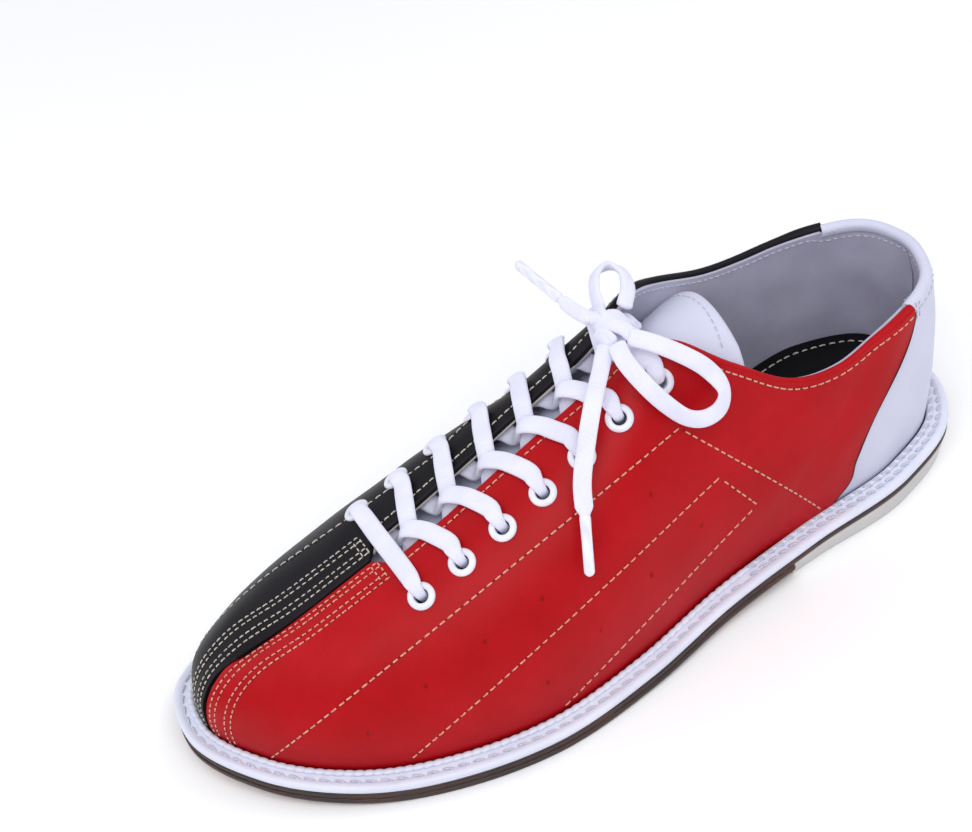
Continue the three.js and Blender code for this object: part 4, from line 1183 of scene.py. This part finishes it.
def tongue_sheet(low, high, inset, puff):
    """A padded sheet between two depths: rings of even stations along x, across from side to side."""
    back = TONGUE_BACK + inset
    rounded = back + np.array([0, 0.3, 0.8, 1.6, TONGUE_ROUND])
    across = np.sin(np.linspace(-math.pi / 2, math.pi / 2, 41))
    middle, thick = (low + high) / 2, (high - low) / 2
    rings = []
    for x in [*rounded, *np.linspace(back + 4, TONGUE_FRONT - inset, 110)]:
        half = value_at(TONGUE_WIDTH, x)[0] - inset
        end = min(1.0, math.sqrt(max(0.0, (x - back) / TONGUE_ROUND)))
        edge = np.sqrt(np.clip(1 - np.abs(across) ** 8, 0.02, 1)) * (0.25 + 0.75 * end)
        body = puff * padding(x, across) * end
        at = np.full(41, x)
        top, _ = tongue_point(at, across * half, middle + thick * edge + body)
        bottom, _ = tongue_point(at, across * half, middle - thick * edge)
        rings.append(np.vstack([top, bottom[::-1]]))
    return loft(rings)


def tongue():
    outside, inside = tongue_sheet(-0.2, 1.7, 0, 1.0), tongue_sheet(-1.9, -0.4, 0.7, 0)
    piece = add_piece("tongue_leather", outside, WHITE, "tongue", "tongue")
    add_piece("tongue_lining_cloth", inside, LINING, "tongue_lining", "tongue")
    tongue_stitches()


def tongue_stitches():
    """A row beside each long edge and one across the top."""
    rows = []
    for side in (-1, 1):
        x = np.linspace(TONGUE_BACK + 6, 150, 60)
        width = value_at(TONGUE_WIDTH, x)
        rows.append((x, side * (width - TONGUE_MARGIN), 1 - TONGUE_MARGIN / width))
    across = np.linspace(-14, 14, 30)
    x = TONGUE_BACK + 3.6 + 0.012 * across**2
    rows.append((x, across, across / value_at(TONGUE_WIDTH, x)))
    stitches = []
    for x, across, share in rows:
        line = tongue_point(x, across, TONGUE_STITCH_LIFT + padding(x, share))
        stitches += stitch_row(*line, pitch=2.9, radius=0.26)
    add_piece("tongue_stitches", joined(stitches), WHITE_THREAD, body="tongue")


# ---------------------------------------------------------------- sole

REAR_TIP, FRONT_TIP = 0.00005, 0.49995
HALF_SHARES = np.linspace(0, 0.5, 2001)
MEDIAL_X = x_of(1 - HALF_SHARES)
LATERAL_X = x_of(HALF_SHARES)


def opposite(u):
    """The medial share of the edge at the same x as each lateral one; at the two tips, its mirror share."""
    level = 1 - np.interp(x_of(u), MEDIAL_X, HALF_SHARES)
    near_tip = smoothstep(np.abs(u - 0.25), 0.225, 0.248)
    return level + (1 - u - level) * near_tip


def share_at(x):
    return float(np.interp(x, LATERAL_X, HALF_SHARES))


def rising_from_sole(flat, value):
    return underside(flat[:, 0]) + value


def edge_shares(rear, front, count):
    """Shares of the edge between two of them, crowding at both ends."""
    return rear + (front - rear) * (1 - np.cos(np.linspace(0, math.pi, count))) / 2


def slab(shares, rim, cross=7, level=rising_from_sole, dish=lambda x: 0.0):
    """Rings of a flat piece over the sole's plan, each from one edge over to the other and back under.

    rim is the edge's section, from the underside's middle out, up and over, as points of (inset from the
    outline, value that level turns into a height); dish gives how far the top's middle is bowed down at an x.
    """

    def levelled(points, value):
        points[:, 2] = level(points, value)
        return points

    def edge(u):
        return [levelled(edge_point(u, inset), value) for inset, value in rim]

    one, other = edge(shares), edge(opposite(shares))
    across = np.linspace(0, 1, cross + 2)[1:-1]
    over = [levelled(one[-1] + (other[-1] - one[-1]) * s, rim[-1][1]) for s in across]
    for points, s in zip(over, across):
        points[:, 2] -= dish(points[:, 0]) * math.sin(math.pi * s)
    under = [levelled(other[0] + (one[0] - other[0]) * s, rim[0][1]) for s in across]
    return np.stack(one + over + other[::-1] + under, axis=1)


def fanned(rings):
    """A slab's shape: its ends are closed by a fan about their middle."""
    count, across = rings.shape[:2]
    points, faces = loft(rings, caps=False)
    middles = np.array([rings[0].mean(axis=0), rings[-1].mean(axis=0)])
    for end, middle in ((0, count * across), (count - 1, count * across + 1)):
        faces += [(end * across + j, end * across + (j + 1) % across, middle) for j in range(across)]
    return np.vstack([points, middles]), faces


CUP = 12.5
SOCK_STITCH_INSET = 15.6
SOCK_STITCH_HEIGHT = 11.08
CUP_REAR, CUP_FRONT = 118.0, 178.0


def cupped(flat, value):
    """The footbed's height: its top rises at the heel, where it is thick and cupped."""
    heel = 1 - smoothstep(flat[:, 0], CUP_REAR, CUP_FRONT)
    return underside(flat[:, 0]) + value + CUP * heel * smoothstep(value, 10, 10.9)


def sock_liner():
    rim = [(18, 9.2), (13.4, 9.2), (13, 9.6), (11.4, 10.7), (11.6, 11.0), (13, 11.05), (21, 11.05)]
    rings = slab(
        edge_shares(REAR_TIP, FRONT_TIP, 220), rim, cross=15, level=cupped,
        dish=lambda x: 0.9 + 3.4 * (1 - smoothstep(x, CUP_REAR, CUP_FRONT)),
    )
    add_piece("sock_liner_leather", fanned(rings), SOCK, "sock_liner")
    line = edge_point(np.linspace(0.0, 1.0, 500), SOCK_STITCH_INSET)
    line[:, 2] = cupped(line, SOCK_STITCH_HEIGHT)
    stitches = stitch_row(line, np.tile(UP, (500, 1)), pitch=3.4, cover=0.72, radius=0.3)
    add_piece("sock_liner_stitches", joined(stitches), CREAM_THREAD)


WELT_SECTION = [
    (7.6, 2.7), (4, 2.7), (0.9, 2.7), (0.3, 2.9), (0, 3.4), (-0.1, 4.2), (0, 5.0), (0.35, 5.6),
    (0.9, 5.9), (1.6, 6.05), (2.3, 6.0), (2.6, 5.85), (2.9, 5.72), (3.3, 5.72), (3.6, 5.85), (3.9, 6.0),
    (5, 6.05), (7.6, 5.9),
]
BEAD_INSET = 6.2
BEAD_HEIGHT = 6.5
BEAD_PITCH = 3.3
POINTS_PER_SCALLOP = 8
WELT_STITCH_PITCH = 5.2
WELT_STITCH_COVER = 0.8
GROOVE_TRACK = 3.0
GROOVE_INSETS = (2.7, 3.4)
GROOVE_HEIGHT = 5.95
BRAID_PITCH = 4.3
BRAID_STITCH = 3.6
BRAID_SLANT = 1.1
HEEL_BRAID_END = 106.0


def band(rows):
    """A closed band round the shoe from rows of points that each run all the way round."""
    return loft(np.stack(rows, axis=1), closed=True)


def welt():
    u = np.arange(900) / 900
    rows = [edge_point(u, inset, height) for inset, height in WELT_SECTION]
    add_piece("welt_strip", band(rows), WELT, "welt")
    welt_bead()
    welt_stitches()


def edge_run(inset):
    """Even shares of the edge and the distance round the shoe to each, at an inset."""
    u = np.linspace(0, 1, 4001)
    return u, run_along(edge_point(u, inset))


def welt_bead():
    """A scalloped bead along the upper's foot."""
    u, run = edge_run(BEAD_INSET)
    count = round(run[-1] / BEAD_PITCH) * POINTS_PER_SCALLOP
    shares = np.interp(np.arange(count) * run[-1] / count, run, u)
    phase = np.arange(count) / POINTS_PER_SCALLOP % 1
    scalloped = smoothstep(edge_point(shares, BEAD_INSET)[:, 0], HEEL_BRAID_END - 6, HEEL_BRAID_END + 6)
    bulge = np.abs(np.sin(math.pi * phase)) ** 0.7 * scalloped
    rows = []
    for angle in even_turns(12):
        inset = BEAD_INSET + 0.15 - math.cos(angle) * (0.95 + 0.32 * bulge) - 0.3 * phase * scalloped
        rows.append(edge_point(shares, inset, BEAD_HEIGHT + math.sin(angle) * (0.65 + 0.4 * bulge)))
    add_piece("welt_bead_strip", band(rows), WELT, "welt_bead")


def welt_row(track, begins, length, insets, height, radius, round_heel):
    """Stitches along a track on the welt, an inset at either end: round the heel, or everywhere else."""
    u, run = edge_run(track)
    stitches = []
    for begin in begins:
        ends = np.interp([begin, begin + length], run, u)
        if (edge_point(ends, track)[0, 0] < HEEL_BRAID_END) == round_heel:
            one, two = (edge_point([end], inset, height)[0] for end, inset in zip(ends, insets))
            stitches.append(stitch(one, two, UP, radius))
    return stitches


def welt_stitches():
    """Running stitches in the welt's groove, and slanted pairs of them round the heel."""
    around = edge_run(GROOVE_TRACK)[1][-1]
    count = round(around / WELT_STITCH_PITCH)
    begins = np.arange(count) * around / count
    length = WELT_STITCH_PITCH * WELT_STITCH_COVER
    stitches = welt_row(GROOVE_TRACK, begins, length, GROOVE_INSETS, GROOVE_HEIGHT, 0.5, False)
    for track, height in ((3.2, 6.0), (5.9, 6.85)):
        begins = np.arange(0, edge_run(track)[1][-1], BRAID_PITCH)
        insets = (track - BRAID_SLANT / 2, track + BRAID_SLANT / 2)
        stitches += welt_row(track, begins, BRAID_STITCH, insets, height, 0.62, True)
    add_piece("welt_stitches", joined(stitches), WHITE_THREAD)


def midsole():
    rim = [(9, 0.05), (1.2, 0.05), (0.5, 0.2), (0.25, 0.7), (0.25, 1.7), (0.5, 2.15), (1.2, 2.35), (9, 2.35)]
    rings = slab(edge_shares(REAR_TIP, FRONT_TIP, 260), rim, cross=5)
    add_piece("midsole_leather", fanned(rings), EDGE, "midsole")


CHANNEL_INSET = 9.5
CHANNEL_STITCH = (10, 13)
CHANNEL_GAP = 1.6
CHANNEL_HEIGHT = -2.25
SLIDE_REAR = 88.3


def slide_sole():
    rim = [
        (13, -2.6), (10.4, -2.6), (10.0, -2.35), (9.8, -1.9), (9.2, -1.9), (9.0, -2.35), (8.6, -2.6),
        (4, -2.6), (1.0, -2.6), (0.35, -2.35), (0.1, -1.8), (0.1, -0.8), (0.4, -0.4), (1.0, -0.3),
        (12, -0.3),
    ]
    rings = slab(edge_shares(share_at(SLIDE_REAR), FRONT_TIP, 240), rim, cross=7)
    rings[..., 0] = np.maximum(rings[..., 0], SLIDE_REAR)
    add_piece("slide_sole_leather", fanned(rings), SUEDE, "slide_sole")
    sole_edge_ink()
    channel_stitches()


def sole_edge_ink():
    """The inked band round the slide sole's edge."""
    first = share_at(SLIDE_REAR + 0.4)
    u = np.linspace(first, 1 - first, 500)
    u = u[x_of(u) > SLIDE_REAR + 0.3]
    section = [
        (0.9, -2.66), (0.2, -2.45), (-0.05, -1.9), (-0.05, -0.7), (0.3, -0.35), (0.8, -0.35), (0.8, -1.4),
    ]
    rows = [edge_point(u, inset, height) for inset, height in section]
    add_piece("slide_sole_edge", tube(np.stack(rows, axis=1)), EDGE)


def channel_stitches():
    """Long slack stitches in the sole's channel, with a flat dark mark of painted shade where each one dives
    in.
    """
    u, run = edge_run(CHANNEL_INSET)
    stitches, holes = [], []
    begin = float(np.interp(share_at(SLIDE_REAR + 5), u, run))
    finish = run[-1] - begin
    while begin < finish:
        length = RNG.uniform(*CHANNEL_STITCH)
        ends = np.interp([begin, begin + length - CHANNEL_GAP], run, u)
        if edge_point(ends, CHANNEL_INSET)[:, 0].min() > SLIDE_REAR + 3:
            bow = np.sin(np.linspace(0, math.pi, 7))
            inset = CHANNEL_INSET + 0.25 * bow * RNG.uniform(-1, 1)
            line = edge_point(np.linspace(ends[0], ends[1], 7), inset, CHANNEL_HEIGHT - 0.25 * bow)
            stitches.append(ribbon(line, -UP, 0.95 * (0.6 + 0.4 * bow), 0.8, sides=8))
            # each hole is a flat dark mark in the edge-ink material: painted shade
            hole = edge_point([ends[1] + (ends[1] - ends[0]) * 0.07], CHANNEL_INSET, -2.55)[0]
            out = outward(ends[1])[0]
            tilt = unit(np.cross(-UP, out) + out * 0.8)
            holes.append(ribbon(hole + tilt * np.linspace(-1.3, 1.3, 5)[:, None], -UP, 0.8, 0.5, sides=6))
        begin += length
    add_piece("slide_sole_stitches", joined(stitches), CREAM_THREAD)
    add_piece("slide_sole_stitch_hole_shades", joined(holes), EDGE)


# ---------------------------------------------------------------- heel


def heel_level(flat, value):
    """0 is the ground and 1 the sole's underside."""
    return (underside(flat[:, 0]) - GAP) * value


def tap_shape(grow):
    """Plan of the heel tap: a flat side at the front and a round back, grown outward by grow."""
    radius = HEEL_TAP_HALF + grow
    turn = np.linspace(math.pi / 2, math.pi * 3 / 2, 40)
    rear = np.column_stack([HEEL_TAP_CENTRE + radius * np.cos(turn), radius * np.sin(turn)])
    front = HEEL_TAP_FRONT + grow
    return np.vstack([[front, radius], rear, [front, -radius]])


def prism(plan, low, high):
    return tube(np.stack([np.column_stack([plan, np.full(len(plan), z)]) for z in (low, high)]))


def heel_block():
    rim = [
        (14, 0.0), (5.0, 0.0), (4.0, 0.02), (3.4, 0.08), (3.1, 0.18), (2.4, 0.4), (1.6, 0.65),
        (0.9, 0.9), (0.75, 0.97), (1.1, 1.0), (12, 1.0),
    ]
    rings = slab(edge_shares(REAR_TIP, share_at(HEEL_FRONT), 90), rim, cross=9, level=heel_level)
    rings[..., 0] = np.minimum(rings[..., 0], HEEL_FRONT)
    recess = prism(tap_shape(0.35), -3, 2.6)
    add_piece("heel_block_rubber", fanned(rings), RUBBER, "heel_block", cutter=recess)


RIB_REAR = 56.0
RIB_PITCH = 2.3
RIBS = 6
FIELD_DEPTH = 0.55
TAP_TOP = 2.2
MOTIF_CENTRE = 39.5
MOTIF_RINGS = (10.5, 8.4)
LOZENGE = 5


def tap_bottom(x, y):
    """Height of the tap's tread: a flush rim round a sunk field, with grooves across its front."""
    behind = x < HEEL_TAP_CENTRE
    beside = HEEL_TAP_HALF - np.where(behind, np.hypot(x - HEEL_TAP_CENTRE, y), np.abs(y))
    field = FIELD_DEPTH * smoothstep(np.minimum(beside, HEEL_TAP_FRONT - x), 1.2, 1.9)
    along = (x - RIB_REAR) / RIB_PITCH
    groove = 1 - np.clip(np.abs((along % 1) - 0.5) * 6 - 0.6, 0, 1)
    return 0.03 + field * np.where((along > 0) & (along < RIBS), 0.4 + 2.2 * groove, 1)


def heel_tap():
    """A fine grid over the tap's plan, its sides straight."""
    rounded = HEEL_TAP_REAR + np.array([0.02, 0.2, 0.6, 1.2, 1.5, 1.9])
    field = np.arange(24.5, RIB_REAR - 0.2, 0.8)
    ribbed = np.arange(RIB_REAR - 0.1, 70.2, 0.16)
    front = HEEL_TAP_FRONT - np.array([1.4, 1, 0.6, 0.3, 0])
    across = np.sin(np.linspace(-math.pi / 2, math.pi / 2, 61))
    rings = []
    for x in [*rounded, *field, *ribbed, *front]:
        back = min(x - HEEL_TAP_CENTRE, 0)
        y = across * math.sqrt(max(0.05, HEEL_TAP_HALF**2 - back**2))
        at = np.full(61, x)
        low = np.column_stack([at, y, tap_bottom(at, y)])
        high = np.column_stack([at, y, np.full(61, TAP_TOP)])
        rings.append(np.vstack([low, high[::-1]]))
    add_piece("heel_tap_rubber", loft(rings), TAP, "heel_tap")
    tap_motif()


def tap_motif():
    """A plain raised motif on the tap's field: a ring round a lozenge."""
    centre = np.array([MOTIF_CENTRE, 0, FIELD_DEPTH - 0.1])
    turn = np.linspace(0, 2 * math.pi, 73)
    circle = np.column_stack([np.cos(turn), np.sin(turn), np.zeros(73)])
    parts = []
    for radius in MOTIF_RINGS:
        parts.append(ribbon(centre + circle * radius, -UP, 0.9, 0.8, sides=8, rounded_ends=False))
    corners = LOZENGE * np.array([[1, 0, 0], [0, 1, 0], [-1, 0, 0], [0, -1, 0], [1, 0, 0]])
    for a, b in zip(corners[:-1], corners[1:]):
        side = centre + a + (b - a) * np.linspace(0, 1, 9)[:, None]
        parts.append(ribbon(side, -UP, 1.0, 0.8, sides=8))
    add_piece("heel_tap_motif", joined(parts), TAP)


# ---------------------------------------------------------------- lacing

LACE_WIDTH = 6.6
LACE_THICK = 2.3
BUNCHED_WIDTH = 3.7
BUNCHED_THICK = 2.6
UNDER = -2.4
UNDER_EYELET = -3.9
OVER = 5.5
CROSS_LOW = 1.6
CROSS_HIGH = 5.2
KNOT = np.array([122.1, -1.0, 110.6])
AGLET_LENGTH = 19.0
OUTER_TAIL_LENGTH = 75
INNER_TAPER = 0.36
AGLET_WIDTH = 3.7
AGLET_THICK = 2.6
SQUEEZED_WIDTH = 3.0
SQUEEZED_THICK = 2.0
LOOP_LATERAL = [
    (121, 9, 112.7), (116.5, 13.7, 111.2), (109.6, 20.4, 106.7), (103.8, 25.6, 100.4), (101.2, 30, 92.7),
    (104.5, 31.6, 87.7), (110, 31.6, 86.7), (115.5, 30.4, 89.2), (121, 27.5, 96.2), (125.5, 22, 104.7),
    (127.5, 15, 110.7), (126.5, 9, 112.2),
]
LOOP_MEDIAL = [
    (121.6, -10, 111.6), (120.1, -15, 114.6), (116.1, -20.5, 116.6), (110.6, -22.5, 115.6),
    (107.1, -19, 113.6), (108.6, -13.5, 111.6), (113.6, -7.8, 110.3),
]
TAIL_LATERAL = [
    (128.6, 4.5, 109.6), (133.6, 9.5, 107.1), (141.1, 16, 102.1), (149.6, 24, 95.1), (157.1, 31.5, 86.6),
    (160.6, 37, 79.1),
]
TAIL_MEDIAL = [(127.6, -6.5, 113.6), (130.6, -11, 116.1), (132.1, -16, 117.9)]

# which way the flat of the lace faces at each of those points
LOOP_LATERAL_UPS = [
    (0.3, 0.5, 0.8), (0.2, 0.5, 0.85), (0.1, 0.6, 0.8), (0, 0.75, 0.65), (-0.5, 0.8, 0.3), (-0.1, 0.9, 0.25),
    (0.1, 0.9, 0.3), (0.5, 0.8, 0.3), (0.5, 0.75, 0.45), (0.45, 0.7, 0.6), (0.4, 0.5, 0.8), (0.35, 0.4, 0.85),
]
LOOP_MEDIAL_UPS = [
    (0.6, -0.4, 0.7), (0.8, -0.3, 0.6), (0.85, -0.2, 0.6), (0.2, -0.8, 0.5), (-0.7, 0.0, 0.7),
    (-0.5, 0.4, 0.75), (-0.3, 0.4, 0.85),
]
TAIL_LATERAL_UPS = [
    (0.4, 0.3, 0.85), (0.45, 0.35, 0.8), (0.4, 0.5, 0.75), (0.35, 0.6, 0.7), (0.4, 0.75, 0.5),
    (0.4, 0.8, 0.4),
]
TAIL_MEDIAL_UPS = [(0.7, -0.1, 0.7), (0.8, -0.1, 0.6), (0.85, -0.1, 0.5)]


def flap_place(side, number, from_edge, depth, shift):
    """A point over or under a flap, from_edge inside its edge, with the flap's normal there."""
    x = FIRST_EYELET - number * EYELET_PITCH + shift
    u, t = on_flap(side, x, FLAP_GAP + from_edge)
    return skin(u, t, depth)[0], wall_normal(u, t)[0]


def over_gap(x, across, depth):
    slope = float(ridge_z(x + 1)[0] - ridge_z(x - 1)[0]) / 2 if x >= 112 else -0.4
    normal = unit(np.array([-slope, 0, 1]))
    return np.array([x, float(ridge_y(x)[0]) + across, float(ridge_z(x)[0])]) + normal * depth, normal


class Lacing:
    """Control points of one strand, each with its normal, width and thickness."""

    def __init__(self):
        self.rows = []

    def add(self, point, normal, squeeze=0.0):
        """squeeze is 0 where the lace lies flat and 1 where it is bunched in an eyelet."""
        width = LACE_WIDTH + (BUNCHED_WIDTH - LACE_WIDTH) * squeeze
        thick = LACE_THICK + (BUNCHED_THICK - LACE_THICK) * squeeze
        self.rows.append((point, normal, width, thick))

    def in_eyelet(self, side, number, towards_edge, depth, normal, squeeze):
        base, axis, uphill = eyelet_frame(side, number)
        flat = {"axis": axis, "uphill": uphill, "between": unit(axis - uphill)}[normal[0]] * normal[1]
        self.add(base + uphill * towards_edge + axis * depth, flat, squeeze)

    def under(self, side, number, sign, shift):
        self.in_eyelet(side, number, 0.7, 1.2, ("uphill", sign), 1)
        self.in_eyelet(side, number, 0.8, -2.3, ("uphill", sign), 1)
        self.in_eyelet(side, number, 1.8, UNDER_EYELET, ("axis", sign), 0.7)
        self.in_eyelet(side, number, 5.2, UNDER_EYELET, ("axis", sign), 0.2)
        point, normal = flap_place(side, number, 3.5, UNDER, shift)
        self.add(point, normal * sign)

    def into(self, side, number, sign):
        """From over the flap down into an eyelet."""
        self.in_eyelet(side, number, 7.2, OVER + 0.1, ("axis", sign), 0.1)
        self.in_eyelet(side, number, 4.6, 6.5, ("axis", sign), 0.3)
        self.in_eyelet(side, number, 2.1, 6.1, ("between", sign), 0.8)
        self.in_eyelet(side, number, 0.75, 4.4, ("uphill", -sign), 1)

    def crossing(self, side, number, sign, height):
        x = FIRST_EYELET - EYELET_PITCH * (number + 0.5)
        self.under(side, number, sign, -2)
        for across, shift, depth in ((4.6, 4, UNDER), (0, 0, height)):
            point, normal = over_gap(x + shift, side * across, depth)
            self.add(point, normal * sign)
        for from_edge, shift in ((0.3, 4.0), (4.5, 2.0)):
            point, normal = flap_place(-side, number + 1, from_edge, OVER, shift)
            self.add(point, normal * sign)
        self.into(-side, number + 1, sign)

    def to_knot(self, side, sign):
        self.under(side, EYELETS - 1, sign, -2)
        point, normal = over_gap(113, side * 4.2, -1.5)
        self.add(point, normal * sign)
        self.add(KNOT + (-7.2, side * 3.2, -4.6), unit(np.array([-0.6, 0, 0.8])) * sign)

    def strand(self, first):
        for number in range(EYELETS - 1):
            side = first if number % 2 == 0 else -first
            height = CROSS_LOW if side > 0 else CROSS_HIGH
            self.crossing(side, number, 1 if number % 2 == 0 else -1, height)
        self.to_knot(first, 1 if (EYELETS - 1) % 2 == 0 else -1)
        return self.rows


def bar_rows():
    bar = Lacing()
    bar.into(1, 0, -1)
    bar.rows.reverse()
    for across in (5.5, -5.5):
        point, normal = over_gap(FIRST_EYELET, across, OVER - 0.2)
        bar.add(point, -normal)
    bar.into(-1, 0, -1)
    return bar.rows


def lace_mesh(rows):
    points, normals, widths, heights = (np.array(column) for column in zip(*rows))
    line, up, wide, high = resample(points, 0.9, normals, widths, heights)
    return ribbon(line, unit(up), wide, high)


def lace_run():
    rows = Lacing().strand(1)[::-1] + bar_rows() + Lacing().strand(-1)
    add_piece("lace_crossings", lace_mesh(rows), LACE, "lace_run")


def free_lace(name, node, route, ups, width, taper=None, spacing=1.0):
    """A free stretch of lace along listed points; past the share taper it lies in its aglet."""
    line, up = resample(route, spacing, ups)
    wide = np.full(len(line), width)
    thick = np.full(len(line), LACE_THICK)
    if taper is not None:
        narrow = smoothstep(np.linspace(0, 1, len(line)), taper - 0.035, taper + 0.015)
        wide = wide + (SQUEEZED_WIDTH - wide) * narrow
        thick = thick + (SQUEEZED_THICK - thick) * narrow
    piece = add_piece(name, ribbon(line, unit(up), wide, thick), LACE, node)
    metres = place(line)
    float(run_along(metres)[-1])


def beyond(route):
    """The end of a route and the direction in which it leaves."""
    end = np.array(route[-1], float)
    return end, unit(end - np.array(route[-2], float))


def aglet(node, route, up):
    """A sheath of film round the lace's end, pinched a little at both ends."""
    end, away = beyond(route)
    steps = np.array([0.6, 1.0, 2.0, 5.0, 10.0, 15.0, 18.0, 19.0, 19.3])
    size = np.array([0.93, 1.0, 1.0, 0.97, 0.95, 0.95, 0.95, 0.92, 0.8])
    line = end + away * steps[:, None]
    sheath = ribbon(line, np.array(up), AGLET_WIDTH * size, AGLET_THICK * size, rounded_ends=False)
    return add_piece(f"{node}_film", sheath, FILM, node)


def lace_tail(name, side_name, route, ups, width, taper, spacing):
    """A tail of lace that runs on through its aglet."""
    end, away = beyond(route)
    inside = [tuple(end + away * AGLET_LENGTH / 2), tuple(end + away * AGLET_LENGTH)]
    sheath = aglet(f"aglet_{side_name}", route, ups[-1])
    ups = ups + [ups[-1]] * 2
    node = f"lace_tail_{side_name}"
    free_lace(name, node, route + inside, ups, width, taper, spacing)


def lace_ends():
    free_lace("lace_loop_outer", "lace_loop_lateral", LOOP_LATERAL, LOOP_LATERAL_UPS, 6.2)
    free_lace("lace_loop_inner", "lace_loop_medial", LOOP_MEDIAL, LOOP_MEDIAL_UPS, 5.6)
    outer_taper = 1 - AGLET_LENGTH / OUTER_TAIL_LENGTH
    lace_tail("lace_tail_outer", "lateral", TAIL_LATERAL, TAIL_LATERAL_UPS, 6.0, outer_taper, 1.0)
    lace_tail("lace_tail_inner", "medial", TAIL_MEDIAL, TAIL_MEDIAL_UPS, 5.0, INNER_TAPER, 0.7)


def lace_knot():
    """The bow's knot: two turns wound round the loops' roots, and one strand slanting over them."""
    turn = np.linspace(-0.3 * math.pi, 3.9 * math.pi, 70)
    share = np.linspace(-1, 1, 70)
    wound = KNOT + np.column_stack([np.cos(turn) * 4.4, share * 2.6, np.sin(turn) * 3.7])
    away = np.column_stack([np.cos(turn), np.zeros(70), np.sin(turn)])
    parts = [ribbon(wound, away, 5.4, LACE_THICK)]
    for route in (
        [(-2, 9, 1.5), (-1, 5.5, 2.8), (1, 1.5, 3.2), (2, -3, 3.0), (1, -7, 2.5), (0, -9.5, 1.5)],
        [(4, 6.5, 0.5), (4.5, 3, 0.8), (5.8, 0.5, 0.6), (5.5, 5.5, -1.2)],
        [(3.5, -3, 2.2), (4.5, -5, 3.2), (5.5, -6, 3.1)],
    ):
        line = resample(KNOT + np.array(route), 0.8)[0]
        parts.append(ribbon(line, unit(line - KNOT + (0, 0, 0.5)), 5.2, 2.6))
    add_piece("lace_knot_turns", joined(parts), LACE, "lace_knot")


# ---------------------------------------------------------------- hidden pieces

HIDDEN_SLOTS = {
    "interlining_cloth": hidden_stuff("interlining_cloth", (0.50, 0.46, 0.36), (0.62, 0.58, 0.48), 2200),
    "stiffener_board": hidden_stuff("stiffener_board", (0.20, 0.12, 0.05), (0.32, 0.20, 0.10), 1500),
    "cork": hidden_stuff("cork", (0.26, 0.13, 0.05), (0.44, 0.26, 0.12), 520, 0.6),
    "seat_foam": hidden_stuff("seat_foam", (0.55, 0.47, 0.32), (0.66, 0.58, 0.43), 1300, 0.5),
    "shank_steel": hidden_stuff("shank_steel", (0.3, 0.31, 0.33), (0.42, 0.43, 0.45), 900, 0.1, Metallic=1),
    "nail_steel": hidden_stuff("nail_steel", (0.38, 0.36, 0.33), (0.5, 0.48, 0.45), 1100, 0.1, Metallic=1),
}


def finish_hidden_nodes():
    for part in frame["record"]["subparts"]:
        material = HIDDEN_SLOTS.get(part["material_slot"])
        if material:
            mesh = frame["nodes"][part["node"]].data
            mesh.materials.clear()
            mesh.materials.append(material)


# ---------------------------------------------------------------- studio


def studio():
    scene = bpy.context.scene
    scene.view_settings.view_transform = "Standard"
    world = bpy.data.worlds.new("studio")
    world.use_nodes = True
    world.node_tree.nodes["Background"].inputs["Color"].default_value = (0.93, 0.94, 1.0, 1)
    world.node_tree.nodes["Background"].inputs["Strength"].default_value = 0.62
    scene.world = world
    lights = (
        ("key", (0.25, 0.55, 0.9), (0.9, 0.7), 6),
        ("fill", (0.7, -0.5, 0.6), (0.8, 0.8), 2.2),
        ("back", (-0.7, 0.1, 0.7), (0.7, 0.9), 2.2),
    )
    for name, where, size, power in lights:
        data = bpy.data.lights.new(name, "AREA")
        data.shape = "RECTANGLE"
        data.size, data.size_y = size
        data.energy = power
        light = add_object(name, data)
        light.location = where
        light.rotation_euler = (Vector((0, 0, 0.04)) - Vector(where)).to_track_quat("-Z", "Y").to_euler()
    floor_mesh = bpy.data.meshes.new("floor")
    corners = [(-4, -4, 0), (4, -4, 0), (4, 4, 0), (-4, 4, 0)]
    floor_mesh.from_pydata(corners, [], [(0, 1, 2, 3)])
    paper = Shader("floor_paper", 0.9, Specular_IOR_Level=0.1)
    paper.color(paper.noise(2), (0.3, (0.96, 0.96, 0.96)), (0.7, (0.98, 0.98, 0.98)))
    floor_mesh.materials.append(paper.material)
    floor = add_object("floor", floor_mesh)
    floor.location.z = CAD_BOX[0][2]


# ---------------------------------------------------------------- building

add_camera()
lace_ends()
lace_run()
lace_knot()
for panel_name in SIDES:
    panel(panel_name)
    lining(panel_name)
    panel_stitching(panel_name)
    vents(panel_name)
cut_edges()
foxing()
collar_stitching()
eyelets()
tongue()
sock_liner()
welt()
midsole()
slide_sole()
heel_block()
heel_tap()
finish_hidden_nodes()
studio()
